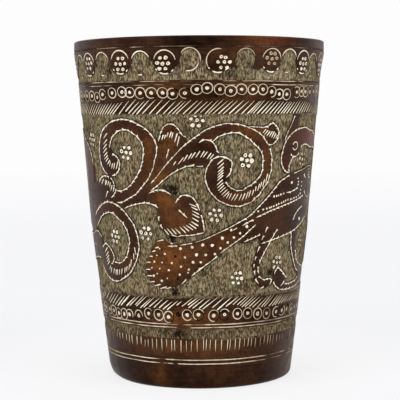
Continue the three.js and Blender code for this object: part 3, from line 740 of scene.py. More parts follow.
CHAINS = [
    # upper left scroll
    [(-36, 74.7), (-33, 74.8), (-30, 76.3), (-25.9, 78.3), (-23.1, 81.1), (-20, 84.5), (-17.8, 88.7),
     (-17, 92), (-16.2, 94.2), (-16, 97.3), (-16.8, 100), (-18.4, 102.4), (-20.5, 104.4), (-23.5, 106),
     (-26.5, 107.4), (-29, 107.8), (-31, 107.9), (-33, 107.6), (-35.4, 107.2), (-37.9, 106),
     (-40.9, 104.3), (-43, 102), (-44.4, 99), (-45, 96.5), (-45.3, 93.5), (-45, 90.5), (-43.7, 88.1),
     (-42, 86.5), (-40.5, 85.7)],
    [(-37.9, 85.4), (-36, 85.7), (-34.1, 87), (-33.3, 88.5), (-32.9, 90.5), (-33.5, 92), (-34.6, 93.3),
     (-36.6, 94.1)],
    [(-36.1, 79.4), (-33, 79.4), (-30, 80.6), (-28, 82), (-25, 85.5), (-23.3, 88.2), (-22.1, 91.5),
     (-21.6, 94.5), (-21.5, 96.7), (-22.3, 99), (-24.2, 101.4), (-26.5, 102.7), (-28, 103.6),
     (-30.6, 103.8), (-33.3, 103), (-35.2, 101.5), (-36.2, 100.8), (-37.2, 99), (-37.9, 97.5),
     (-38, 96.5)],
    # bud under it
    [(-47.5, 82.3), (-46.5, 83.8), (-44, 85), (-42, 85.2), (-40, 84.8)],
    [(-38.7, 84.4), (-37.4, 83), (-37, 81.5), (-37.2, 80.5), (-38, 78.8)],
    [(-43.3, 76.3), (-41.6, 79)],
    [(-36, 80), (-36.8, 78.7), (-37.7, 77.5), (-39.5, 76.4)],
    # lower left scroll
    [(-54.9, 68.1), (-52.8, 70), (-50.1, 71.6), (-47, 73.3), (-44, 74.3), (-42, 74.7), (-39, 74.4),
     (-36, 73.6), (-33.8, 72.4), (-31.6, 70.6), (-30, 68.8), (-27.8, 66.3), (-27, 64), (-26.2, 61.8),
     (-26, 59), (-25.9, 56.7), (-26.8, 54.5), (-27.5, 52.3), (-28.7, 50.3), (-30, 48.6), (-30.9, 47.3),
     (-33, 45.5), (-34.5, 44.7), (-37, 43.5), (-39, 42.6), (-42, 42.1), (-45, 42.4), (-47, 43.2),
     (-49, 44.2), (-50.5, 45.7), (-51.9, 47.6)],
    [(-50.3, 55.3), (-49.3, 56.2), (-46.7, 57.5), (-44.5, 56.5), (-43, 55.3), (-42, 54), (-41.3, 53),
     (-41.3, 51.5), (-41.8, 50.5), (-43, 49.5), (-44, 49.1)],
    [(-53.5, 64), (-51.8, 65.5), (-50.5, 66.4), (-48.3, 68.3), (-46, 69.4), (-43.8, 70), (-42, 70.4),
     (-39, 70.2), (-37.1, 68.9), (-35, 67.5), (-33.6, 66.7), (-32.4, 64.9), (-31.6, 64), (-31.2, 62.4),
     (-30.8, 60.9), (-30.6, 59), (-31.5, 56.7), (-31.7, 55.6), (-33, 53), (-34.7, 51.6), (-36, 50.5),
     (-38.4, 49.9), (-40.8, 50.2)],
    # left edge
    [(-58, 61.2), (-56, 61.9), (-53.5, 62), (-52, 61.1), (-50.5, 60.2), (-49.8, 59.9)],
    [(-63, 50), (-60, 50.5), (-57, 50.9), (-54, 50.8)],
    [(-72.2, 103.7), (-69, 103.5), (-66, 103), (-63, 101.8), (-60, 100.2), (-58, 98.8)],
    [(-72.2, 65), (-69, 64.6), (-66, 64.2), (-63.3, 64)],
    [(-72.2, 97), (-71, 92), (-70.4, 86), (-70.6, 80), (-71.4, 74), (-72.2, 69)],
    [(-71, 99), (-68.6, 95), (-67, 90), (-66.4, 84), (-67, 78), (-68.6, 72.5), (-70, 69)],
    [(-68, 98.5), (-65.5, 94.5), (-63.6, 90), (-62.8, 84), (-63.2, 78), (-65, 73), (-67.3, 69)],
    [(-72.2, 60.2), (-69, 60), (-66, 60), (-63, 60.3), (-60, 60.8)],
    [(-72.2, 48.7), (-69, 48.8), (-66, 49.3), (-63.4, 49.9)],
    [(58, 68.7), (60.3, 70.9), (62, 73.4), (63.2, 76.5), (63.8, 80), (63.2, 83.5), (61.8, 86),
     (59.6, 87.8)],
    [(58.2, 101.9), (60.8, 100.9), (62.8, 99), (64, 96.8)],
    [(63.4, 95.1), (61, 95.8), (58.5, 96)],
    [(57, 39.6), (59.5, 40.4), (61.6, 41.8), (62.8, 43.6)],
    [(62, 44.7), (60.5, 46.2), (58, 46.9)],
    [(-57.6, 98.5), (-56.6, 98), (-54.8, 96.2), (-53.3, 94.3), (-52.2, 91.5), (-52, 89)],
    # heart-shaped leaf
    [(-32.2, 72.4), (-30, 73.3), (-26, 74.4), (-22, 75.1), (-20, 74.9), (-17.5, 74.1), (-16.5, 73.2)],
    [(-20, 78.9), (-18, 79.9), (-16.3, 80.3), (-14, 80.2), (-12.5, 79.5), (-11, 78.5)],
    [(-9.3, 75.2), (-8.3, 77), (-7, 78.2), (-4.7, 78.4), (-2.6, 77.4), (-1, 75), (0, 72.2)],
    [(0.6, 70.5), (1.1, 68.5), (1.5, 66.5), (1.7, 63.9)],
    [(1.7, 63.6), (-1, 63), (-3.5, 62.5), (-7.5, 62.4), (-8.8, 61.9), (-11, 62.6)],
    [(-14.8, 64.9), (-15.7, 66.5)],
    [(-16.2, 68), (-16.4, 69.7)],
    [(-8, 72.4), (-4.8, 69.4)],
    # wing leaf
    [(-19, 80), (-16.2, 82), (-14, 84), (-12, 85.6), (-10, 87), (-8, 88.2), (-5, 89.5), (-2, 90)],
    [(-1.3, 89.6), (1.2, 89.5)],
    [(-0.2, 98.7), (1.5, 100), (4.3, 99.5), (5.9, 97.6), (6.5, 95.5), (7.2, 94.6)],
    # right scroll
    [(-19, 82.8), (-16.5, 85.3), (-13, 89.7), (-10, 93), (-6.5, 96.8), (-3.2, 99.7), (0, 102),
     (2.1, 103.6), (5.3, 105), (8, 105.7), (10, 106.2), (12, 105.9), (14.5, 105.8), (17, 105),
     (20.5, 103.6), (22.7, 102.3), (24.5, 100.9), (26, 98.8), (27, 97.6)],
    [(28, 96), (28.5, 94.4), (29.2, 92), (28.9, 90), (29.2, 87.8), (28.3, 85.5), (27.7, 83), (26, 81),
     (24.5, 79), (24, 78), (22, 76.7), (20.7, 75.3), (17.5, 74.2), (15.5, 73.6), (12, 74), (10.3, 74.6),
     (7, 76.2), (4.2, 79.2), (3.2, 81), (2.1, 84), (2, 86), (2.7, 89), (3.5, 90.3), (4.6, 92.2),
     (7, 93.4), (9.3, 93.1), (11.5, 92), (12.3, 91), (12, 88.5), (11.5, 86.5), (10, 85.1)],
    [(4.7, 99), (6.8, 101), (9.5, 102), (12, 102.5), (14.7, 102.4), (17, 101), (19, 99.8), (20.5, 98.2),
     (22.3, 96.8), (24, 95), (24.6, 93.5), (25, 91.5), (24.7, 90), (25, 88), (24.2, 86), (23.7, 85.2),
     (22, 83.4), (20.2, 82), (18, 81), (17, 80), (14.2, 79.9), (12, 81), (10.8, 82), (10, 83.3)],
    # blunt leaf
    [(-14.5, 101.9), (-14, 103.2), (-13.2, 104.8), (-11.5, 106), (-9.5, 105.9), (-8, 104.6),
     (-6.9, 102.8), (-6, 101.4), (-5, 101.1)],
    [(-12.4, 92.6), (-11.4, 96.2)],
    # hooked leaf
    [(18.5, 104.8), (20.7, 104.7), (22, 104.6), (24.2, 104.4), (26.5, 104.8), (27.8, 106)],
    [(28.5, 106.3), (30, 105.3), (31, 104.3), (32, 102.5), (31.6, 100.2), (30.5, 98.7), (29, 97.7),
     (27.2, 97.5)],
    # bird: crest, head, mouth and cheek
    [(40.3, 108.8), (39.5, 107.2), (38.4, 105), (37, 103), (36, 101), (35.2, 99)],
    [(38.9, 86.3), (37.5, 86.3), (36, 87.2), (34.8, 88.5), (33.9, 90.5), (33.8, 92.5), (34.3, 94.7),
     (34.9, 97), (36, 98.9), (38, 101), (40, 102.3), (42, 103.2), (44, 103.8), (46, 103.9), (48, 104.2),
     (50, 104), (52, 103.4), (54, 102.9), (57.4, 102.75), (60, 101.6)],
    [(45.8, 95.7), (47, 96.8), (49, 97.3), (51, 97.2), (53, 96.6), (55, 96.1), (56.8, 96)],
    [(44.7, 93.7), (43.3, 92.8), (41.8, 92.4), (41, 92.5), (39.3, 93.3)],
    [(41, 92.5), (39.8, 91.2), (39.2, 90), (38.7, 89), (38.5, 87.5), (39, 86.3)],
    # bird: back, breast, wing and belly
    [(-2, 59.7), (0, 60.3), (2, 61), (4, 61.9), (8, 63.7), (11, 65), (13.5, 66.3), (16, 67.6),
     (18.5, 68.8), (21, 70.5), (22, 71.5), (24.5, 73.8), (27.2, 76.2), (30, 79), (32, 81), (34, 83),
     (36.4, 84), (39, 85.1)],
    [(42, 85.8), (44, 86.1), (46, 86.6), (48.5, 86.9), (51, 87.5), (53, 88.1), (56, 88.3), (58, 88.3)],
    [(38, 78.2), (40.6, 78.3), (43.7, 79.1), (45.7, 79.8)],
    [(23, 69), (25, 69.7), (27, 70.4), (28.5, 71), (30, 71.5), (32, 71.9), (34, 72.5), (36, 72.9),
     (38, 73.4), (42, 74.2), (46, 75), (49, 75.7), (51, 76.4)],
    [(17, 66), (19.2, 67.2), (21.6, 68.1)],
    [(51, 84.8), (53.3, 83.1)],
    [(52.5, 78), (54.7, 76), (58, 75.3)],
    [(54.5, 86.9), (57, 86.9)],
    [(54.8, 85.6), (57.3, 85.6)],
    [(55, 84.5), (57.5, 84.5)],
    [(56, 83.5), (58.5, 83.5)],
    [(43.8, 66.7), (44.5, 67.6), (45, 68.6), (46, 69.4), (47.5, 70.6), (49, 71.3), (51, 71.9)],
    [(18, 59.5), (21.5, 60.7), (25, 62)],
    [(26.1, 58.4), (27.7, 58.8), (30.7, 59.3), (35, 60.3), (38, 60.9), (40.5, 61.4), (43, 62), (46, 62.8),
     (49, 64), (51.5, 65), (54, 66.5), (55.5, 67.3)],
    # bird: tail
    [(22.9, 66.2), (20, 63.8), (17.3, 61.5), (14, 59.3), (10, 56.6), (8.2, 55.3)],
    [(6.9, 54), (4.5, 52.2), (0, 49), (-2, 47.4), (-3.5, 46.4)],
    [(-5.8, 44.8), (-7.8, 43)],
    [(-17.5, 59.9), (-14.8, 60.6)],
    [(-13, 58.1), (-9.2, 58.3)],
    [(-7.8, 58.6), (-3.2, 59.4)],
    # bird: legs and feet
    [(28.4, 64.9), (27.6, 62.8)],
    [(26.8, 61.5), (26, 59.7)],
    [(25.2, 57.2), (24.3, 55)],
    [(23.7, 53.2), (23.4, 51.8)],
    [(23.1, 50.2), (23.1, 48.9)],
    [(23.4, 47.5), (23.9, 45.8)],
    [(33.8, 63.6), (32.5, 62), (31.2, 60), (30.3, 58.4), (28.8, 56.3), (27.9, 55), (26.8, 52.8),
     (26, 51.8), (25.8, 50.3)],
    [(25.3, 49), (25.2, 47.6), (25.6, 46.4)],
    [(26, 45.2), (27.5, 44), (29, 43.5), (30.8, 43.9), (32.5, 43.7)],
    [(32.9, 43.5), (33, 42.8), (32, 41.2)],
    [(24.2, 44), (26, 42.2)],
    [(26.8, 40.1), (28.7, 40.6)],
    [(36.3, 48), (35, 47), (34.3, 45.4)],
    [(34.3, 42), (35.5, 40.5), (37, 39.6), (38.7, 38.8), (41, 38.4), (44, 38.3), (50, 38.5), (54, 39),
     (57, 40)],
    [(36.3, 48), (38, 47), (40, 45.5), (42, 43.8), (43.2, 43.2)],
    [(41.5, 41.7), (39.3, 40)],
    [(41.8, 40.7), (45.7, 40.5), (48, 40.8), (51.5, 41.2), (54, 42.5)],
    [(43, 62), (43.5, 60), (43.5, 58), (44.2, 55.5), (45.5, 53), (47, 50.5), (49, 48), (51, 46),
     (53.5, 44.8)],
    [(48.5, 54), (50, 50.5), (52, 48.7), (54, 47.9), (57, 47)],
    # bud between the birds
    [(69.8, 47), (69.1, 50), (68.9, 53), (69.3, 57), (70.2, 61), (71.4, 64)],
]

# Rows of short cuts inside the figures: (u, z) of the start and of the wide end
SHORT_CUTS = [
    (-41.5, 100.2, -39, 102.3), (-42, 97.8, -39.3, 99.8), (-42.3, 96, -39.8, 98),
    (-42.5, 94.4, -40, 96.3), (-42.2, 93, -39.8, 94.7), (-42, 91.8, -39.6, 93.5),
    (-41.3, 90.8, -39.4, 92.5), (-40.3, 89.8, -38.5, 91.6), (-39, 89, -38.3, 91),
    (-37.8, 88.2, -37, 90.3), (-36.6, 88, -35.8, 90.5), (-35.2, 88, -33.8, 91.2),
    (-45.8, 81.5, -43.8, 83.8), (-43, 81.3, -42.3, 83.5), (-42.6, 81.4, -41.5, 83.3),
    (-41.3, 81.3, -40.2, 83.1), (-40, 80.6, -39.3, 82.6), (-39.5, 79.2, -38.3, 81.5),
    (-48.5, 53.5, -45.8, 55.7), (-48, 52, -45.3, 54), (-47.8, 50.8, -45.2, 52.6),
    (-47.7, 49.6, -45.4, 51.3), (-47.5, 48.5, -45, 50.2), (-46, 46.5, -44.8, 48.3),
    (-45, 45.3, -44, 47.6), (-43, 45.2, -42, 47.4), (-41.3, 44.8, -40.7, 47.1),
    (-40.3, 44.7, -39.8, 47.2), (-38.9, 45, -38.3, 47.3), (-37.4, 45.2, -36.6, 47.8),
    (-35.2, 46, -34.6, 48.4), (-34, 46.8, -33.4, 49), (-32.6, 47.5, -31.8, 50), (-31.4, 48.8, -30.5, 52),
    (-29.2, 52, -29, 54.5), (-28, 54, -28.3, 57), (-4, 75, -1.3, 73.8), (-3.4, 73.8, -0.8, 72.5),
    (-2.9, 72.2, -0.2, 70.8), (-3, 71, -0.2, 69.5), (-3, 69.5, -0.5, 68), (-3.4, 68, -0.6, 66.3),
    (-4.2, 67.2, -1.4, 65.2), (-5.4, 66.6, -2.7, 64.7), (-6.5, 66.2, -4.3, 64.2),
    (-7.9, 65.9, -5.5, 63.5), (-9.7, 65.2, -7.6, 63.2), (-11.2, 65.2, -9.3, 63), (-13, 65.2, -10.8, 62.8),
    (-14.2, 64.9, -12.4, 62.7), (-9.8, 90, -8.8, 91.5), (-8, 90.3, -5.9, 93), (-6, 91.4, -4.4, 94),
    (-4.2, 92.3, -2.8, 94.6), (-3.1, 92.6, -1.5, 95), (-1.5, 92.9, 0.2, 95.5), (0.3, 93, 1.8, 95.5),
    (1.3, 93, 2.9, 95.2), (2.7, 92.4, 4.3, 94.7), (3.7, 92.3, 5.3, 94.2), (6.5, 90.2, 8.8, 92.2),
    (6.8, 88.7, 9, 90.8), (6.8, 87.2, 9, 89.3), (6.7, 86, 8.9, 88.1), (6.7, 85, 8.9, 87.1),
    (6.6, 83.9, 8.8, 86), (6.5, 82.2, 8.7, 84.3), (6.7, 81, 8.9, 83.1), (7, 80, 9.2, 82.1),
    (7.6, 79.2, 9.8, 81.3), (8.3, 78.3, 10.5, 80.4), (9, 77.5, 11.2, 79.6), (10.2, 77, 11.3, 78.9),
    (11.2, 76.6, 12.2, 78.9), (12.2, 76, 13.7, 78.6), (13.4, 76, 14.8, 78.5), (15.2, 76, 16.3, 78.5),
    (16.5, 76, 17.7, 78.8), (18, 76.4, 19, 79.3), (19.2, 77, 20, 79.8), (20.7, 77.8, 21.3, 80),
    (22, 79.4, 22.3, 81.3), (23, 79.5, 23.8, 82.3), (24, 80.5, 24.8, 83), (25.2, 81, 26, 84),
    (26.5, 82.5, 27.3, 86.2), (-15.3, 99.3, -14.5, 101.6), (-13.9, 99.8, -13.2, 101.8),
    (-12.9, 100.2, -12.4, 101.8), (-12, 100.9, -11.4, 102.7), (-11, 100.7, -10.2, 103),
    (-10.2, 100.4, -9.6, 102.7), (-9.1, 98.8, -8, 102.4), (-8.2, 97.4, -7.3, 101.2),
    (24.2, 102.2, 25.6, 103.7), (25, 101.5, 26.6, 103.3), (26, 101, 27.6, 102.9),
    (27.2, 100.7, 28.6, 102.8), (28.3, 100.3, 29.5, 102.7), (29.3, 100, 30.3, 102),
    (30.4, 99.8, 31.2, 101.5), (-18.6, 57.2, -16.8, 57.6), (-20, 55.7, -18.4, 56.1),
    (-21.4, 53.8, -19.8, 53.8), (-22.8, 51.3, -21, 51.4), (-23.5, 48.4, -21.3, 48.5),
    (-23, 45.9, -20.8, 45.9), (-22.2, 43.3, -19.6, 43.7), (-19.9, 41.9, -17, 42.6),
    (-17.3, 40.9, -14.3, 41.7), (-14.8, 40.9, -12.3, 41.6), (13, 64.2, 14.8, 65.2),
]

# Dots on the figures: (u, z, how far across)
FIGURE_DOTS = [
    (-59.5, 56, 1.1), (-63, 55.6, 1.1), (-66.4, 55, 1.1), (-69.6, 54.6, 1.1), (60, 76, 1.0),
    (60.4, 81, 1.0), (31.1, 77, 0.9), (32.4, 77.1, 0.8), (33.4, 77.3, 0.8), (34.7, 77.6, 0.9),
    (36.3, 77.9, 0.8), (46, 81, 0.8), (46.2, 82.2, 0.8), (45.6, 83.6, 0.8), (41.1, 82.1, 1.2),
    (49.3, 66.9, 1.4), (23.7, 71.4, 0.8), (26, 72, 0.8), (27.7, 72.3, 0.8), (29.1, 72.6, 0.8),
    (30, 72.8, 0.8), (31.2, 73.1, 0.8), (32.6, 73.5, 0.9), (33.8, 73.9, 0.8), (35.4, 74.2, 0.8),
    (36.6, 74.6, 0.8), (37.8, 75, 0.8), (39.2, 75.3, 0.8), (41, 75.3, 0.8), (42, 75.4, 0.7),
    (43.5, 75.7, 0.8), (45.2, 76, 0.8), (47, 76.5, 0.8), (48.5, 77.3, 0.8), (48.7, 78.8, 0.7),
    (49.2, 80.3, 0.7), (49.2, 82, 0.7), (-17.9, 54.3, 0.7), (-16.5, 57, 0.7), (-14.4, 55, 1),
    (-19.2, 51.7, 1), (-15.8, 51.5, 0.7), (-11.6, 51.4, 1), (-7.8, 57.2, 1.3), (-6.1, 53.7, 1),
    (-3.1, 57.8, 1.3), (1.1, 58.7, 1.3), (-1.4, 54.8, 1.3), (2.3, 54.7, 1), (4.9, 58.5, 1.3), (6, 55, 1),
    (-2.8, 51.8, 1.3), (0.3, 51.8, 1), (-7.8, 50, 1), (-4.6, 48.9, 1), (-5, 47.6, 0.7), (-8.4, 46.8, 1),
    (-13, 48.5, 1), (-16.9, 49, 0.7), (-20.5, 49.2, 0.7), (-18.2, 46.9, 0.7), (-19.9, 46, 1.2),
    (-13.8, 45.2, 0.7), (-16.3, 44.1, 1.2), (8.2, 57.3, 1), (8.9, 61.3, 1.3), (11.1, 59.5, 1),
    (12.4, 64.4, 1), (13.6, 61.4, 1), (16.1, 63, 1), (18.9, 65.6, 1.3),
]
DARK_DOTS = [(-10, 54.1, 1.1), (-9.2, 45, 1.1)]

# Rosettes of seven dots in the ground: (u, z, how large the dots are, how much more they are worn)
ROSETTES = [
    (-51.3, 99.5, 1.0, 0.1), (-29.5, 94.7, 1.1, 0), (-0.8, 107.3, 1.0, 0.1), (18.1, 91.6, 1.25, 0),
    (-39, 60.7, 1.0, 0), (-22.3, 62.8, 1.05, 0), (6.2, 70.4, 0.97, 0.15), (15.7, 45, 1.0, 0),
    (35.7, 50.1, 1.0, 0.15), (48.6, 91.2, 0.9, 0.4), (54, 57.5, 0.9, 0.3),
]
ROSETTE_DOTS = [(-0.7, 2.1), (1.4, 2.0), (-2.2, 0.5), (0, 0), (2.1, -0.1), (-1.6, -1.8), (0.7, -2.1)]

# Where cuts and rings are thin and worn, as spots: (u, z, across, up, strength)
THIN_SPOTS = [
    (-1, 60, 5, 3, 1.0), (6, 62.5, 5, 2.5, 0.9), (13, 65.8, 4, 2.5, 0.5), (12, 58, 6, 2.5, 0.6),
    (-15, 87, 4, 4, 1.0), (-9, 94, 4, 4, 0.8), (37.5, 104.5, 3, 4, 1.0), (51, 87.5, 8, 2, 0.9),
    (-12.5, 104.5, 3, 2, 0.6), (21, 104.8, 4, 1.5, 0.8), (-2, 113, 11, 9, 0.8), (12, 78, 8, 5, 0.7),
    (1, 88, 4, 5, 0.6), (-9, 63, 5, 3, 0.6),
]


def thinness(u, z):
    """How thin and worn a mark at a point is"""
    return patch(np.array([u]), np.array([z]), THIN_SPOTS)[0]


LONGEST_CUT = 3.4
CUT_OVERLAP = 0.06
STEEP = 0.35
SIDE_PROBE = 0.8
CHAIN_START = 0.12
CHAIN_WIDTHS = (0.48, 0.74)
# how far the painted groove shade reaches round a chain's cuts
CHAIN_SHADE_AND_DIRT = 0.2
BARBS = (0.12, 0.52)
SHORT_START = 0.25
SHORT_WIDTHS = (0.46, 0.6)
# how far the painted groove shade reaches round a figure's dots
FIGURE_DOT_SHADE_AND_DIRT = 0.12
ROSETTE_DOT_SIZES = (1.2, 1.65)
# The end of the tail, where the dots are smaller and more worn: the lowest and highest u, and the highest z
TAIL_END = (-21, -2, 59)
# A single dot in the ground: (u, z, how far across)
LONE_DOT = (-11.4, 59, 1.1)
# The bird's eye: (u, z) and its radius, the widths of its dark ring and of its paste, and the paste's gap
EYE = (41.8, 96.8)
EYE_RADIUS = 1.6
EYE_DARK_WIDTHS = (0.85, 0.95)
EYE_WIDTHS = (0.36, 0.5)
EYE_GAP = (165, 200)


def chain_cuts(chain, put, side):
    """A chisel line as cuts end to end, each barbed towards the inside of its figure"""
    for a, b in zip(chain, chain[1:]):
        length = math.hypot(b[0] - a[0], b[1] - a[1])
        overlap = CUT_OVERLAP / length
        parts = 2 if length > LONGEST_CUT else 1
        for k in range(parts):
            p = [a[i] + (b[i] - a[i]) * (k / parts - overlap) for i in (0, 1)]
            q = [a[i] + (b[i] - a[i]) * ((k + 1) / parts + overlap) for i in (0, 1)]
            if p[1] > q[1] + STEEP * length:
                p, q = q, p
            normal = (-(q[1] - p[1]) / length, (q[0] - p[0]) / length)
            middle = ((p[0] + q[0]) / 2, (p[1] + q[1]) / 2)
            left, right = (
                front_figures.at(middle[0] + reach * normal[0], middle[1] + reach * normal[1])
                for reach in (SIDE_PROBE, -SIDE_PROBE)
            )
            thin = thinness(*middle)
            barb = chance.uniform(*BARBS) * (1 - thin) * (1 if left < right else -1) * side
            wide = chance.uniform(*CHAIN_WIDTHS) * (1 - 0.45 * thin)
            tone = tone_of_paste() + 0.4 * thin
            path = [(put(p[0]), p[1]), (put(q[0]), q[1])]
            cut(path, CHAIN_START, wide, shade_and_dirt=CHAIN_SHADE_AND_DIRT, tone=tone, barb=barb)


def rosette(u, z, large, worn, put):
    """Seven dots in the ground, each of its own size and a little out of place"""
    for du, dz in ROSETTE_DOTS:
        across = large * chance.uniform(*ROSETTE_DOT_SIZES)
        at = (put(u + du + chance.uniform(-0.1, 0.1)), z + dz + chance.uniform(-0.1, 0.1))
        dot(*at, across, base=ON_GROUND, shade_and_dirt=0.3, tone=worn + tone_of_paste(), pricked=0.35)


def frieze_marks(put, side):
    """All marks of one half; put gives a mark's u there, and side is -1 where the half is mirrored"""
    for chain in CHAINS:
        chain_cuts(chain, put, side)
    for u0, z0, u1, z1 in SHORT_CUTS:
        thin = thinness((u0 + u1) / 2, (z0 + z1) / 2)
        wide = chance.uniform(*SHORT_WIDTHS) * (1 - 0.35 * thin)
        cut([(put(u0), z0), (put(u1), z1)], SHORT_START, wide, tone=tone_of_paste() + 0.3 * thin)
    for u, z, across in FIGURE_DOTS:
        on_tail_end = TAIL_END[0] < u < TAIL_END[1] and z < TAIL_END[2]
        tone = tone_of_paste(0.15, 0.5) if on_tail_end else tone_of_paste()
        across = across * (0.9 if on_tail_end else 1)
        dot(put(u), z, across, tone=tone, shade_and_dirt=FIGURE_DOT_SHADE_AND_DIRT, pricked=0.15)
    for u, z, across in DARK_DOTS:
        hollow(put(u), z, across / 2)
    for u, z, large, worn in ROSETTES:
        rosette(u, z, large, worn, put)
    u, z, across = LONE_DOT
    dot(put(u), z, across, base=ON_GROUND)
    u, z = put(EYE[0]), EYE[1]
    gap = EYE_GAP if side > 0 else (180 - EYE_GAP[1], 180 - EYE_GAP[0])
    ring(hollows_and_shade, u, z, EYE_RADIUS, EYE_DARK_WIDTHS, SHADE_AND_HOLLOW_TOP, PASTE_ROOT)
    ring(paste, u, z, EYE_RADIUS, EYE_WIDTHS, SURFACE_TOP, PASTE_ROOT, 0.25, gap=gap)


# Bands of punched rings and slanted cuts, each mark at its own place at the front and evenly spread behind.
# Rings are (u, z) of the middle

UPPER_RINGS = [
    (-59.8, 117.3), (-55.4, 117.4), (-52, 117.3), (-47.5, 117.2), (-43.5, 116.6), (-39.9, 117.7),
    (-34.5, 118.2), (-29.6, 118.5), (-26.1, 118.3), (-21.7, 118), (-17.3, 118), (-13, 118), (-9.4, 117.6),
    (-5, 117.8), (-0.8, 119.2), (2.8, 119.7), (7.3, 119.2), (11.2, 118.6), (15.2, 119.2), (19.6, 119.2),
    (23.6, 119.2), (27.4, 118.3), (31, 117.4), (34.8, 117.3), (40.5, 118.2), (43.6, 118.6), (46.5, 118.5),
    (50.2, 118.4), (54.2, 118.6), (58.1, 118.8),
]
LOWER_RINGS = [
    (-59.5, 30), (-55.4, 30), (-50.6, 29.7), (-46.6, 29.5), (-42.3, 28.9), (-38.4, 28.9), (-34.8, 29.1),
    (-29.2, 29.1), (-23.7, 30.4), (-18.7, 30.2), (-14.1, 29.5), (-9.6, 30.7), (-5.7, 30.5), (-0.8, 30.7),
    (5.8, 30.2), (10.6, 30.5), (16.5, 30.6), (21.4, 30.5), (26.6, 29.9), (31.7, 29.6), (37.8, 29.6),
    (42, 29.7), (46, 29.8), (50.9, 29.2), (55.6, 29.4), (60, 29.5),
]
# Rings left open, as (start, end) of the gap in degrees from +u towards up
UPPER_GAPS = {
    -5: (-75, 80), -21.7: (-50, -5), -17.3: (-55, -10), 27.4: (195, 262), -9.4: (10, 75),
    -39.9: (-20, 20), 40.5: (130, 230), 31: (190, 235),
}
LOWER_GAPS = {
    -34.8: (190, 335), -29.2: (185, 355), -14.1: (-60, 20), -23.7: (-75, 30), 5.8: (-75, 15),
    -0.8: (-110, 20), 10.6: (150, 385), 37.8: (-70, 60), 42: (60, 215), 46: (-80, 100), -42.3: (-20, 30),
    -5.7: (-30, 15),
}
# Slanted cuts, as (u, z) of the wide lower end and of the thin upper end
UPPER_CUTS = [
    (-55, 110.2, -51.2, 113.9), (-53, 110, -49, 114), (-51.1, 109.9, -46.9, 114),
    (-49.2, 109.8, -45, 114.1), (-47.4, 109.8, -43.2, 114), (-45.5, 109.8, -41.4, 114.1),
    (-43.8, 109.9, -40, 113.8), (-42.5, 109.8, -38.3, 114), (-41, 109.8, -36.7, 114.1),
    (-39.4, 109.8, -35, 114.2), (-37.9, 109.8, -33.4, 114.1), (-36.4, 109.8, -31.6, 114.3),
    (-34.9, 109.8, -29.7, 114.6), (-31.7, 109.8, -26.6, 115), (-28.4, 110.9, -23.6, 115.6),
    (-27.1, 110.1, -22.2, 114.7), (-25.4, 109.8, -20, 115), (-23.6, 109.8, -18.1, 115.4),
    (-21.2, 110, -15.7, 115.4), (-18.4, 109.8, -13.1, 115.4), (-15.7, 109.8, -10.4, 115.1),
    (-13.1, 109.8, -8.4, 114.7), (-11.2, 109.8, -5.9, 115), (-9.6, 109.8, -4.8, 114.7),
    (-8.3, 109.8, -2.8, 115.2), (-5.8, 109.8, -0.5, 115), (-3.8, 109.8, 1.2, 115),
    (-1.7, 109.9, 3, 114.6), (0.4, 110.3, 4.7, 114.7), (2.1, 109.8, 6.7, 115), (3.2, 109.8, 8.6, 115.3),
    (4.8, 109.8, 10.1, 114.8), (6.8, 109.8, 12, 114.8), (8.6, 109.8, 13.9, 115), (10.7, 109.8, 16.1, 115),
    (12.8, 109.8, 18.1, 114.7), (15.4, 109.8, 20.3, 114.8), (17.6, 109.8, 22.3, 114.6),
    (18.9, 110, 23.4, 115), (19.9, 109.8, 24.5, 115), (21.5, 109.8, 26.3, 114.6),
    (23.4, 109.8, 28.1, 114.6), (25.1, 109.8, 29.9, 114.6), (27, 109.8, 31.7, 114.5),
    (28.9, 109.8, 33.4, 114.5), (30.6, 109.8, 35.3, 114.6), (32.3, 109.8, 36.9, 114.5),
    (33.6, 109.8, 38, 114.3), (35.3, 109.8, 39.7, 114.6), (37.2, 109.9, 41.6, 114.8),
    (39, 110, 43.3, 114.8), (41, 110, 45, 114.6), (42.8, 110, 46.7, 114.6), (44.6, 110.1, 48.4, 114.7),
    (46.4, 110.3, 50, 114.4), (48.4, 110.4, 52, 114.2), (50.6, 110.4, 54.4, 113.6),
    (53, 110.3, 56.5, 113.4),
]
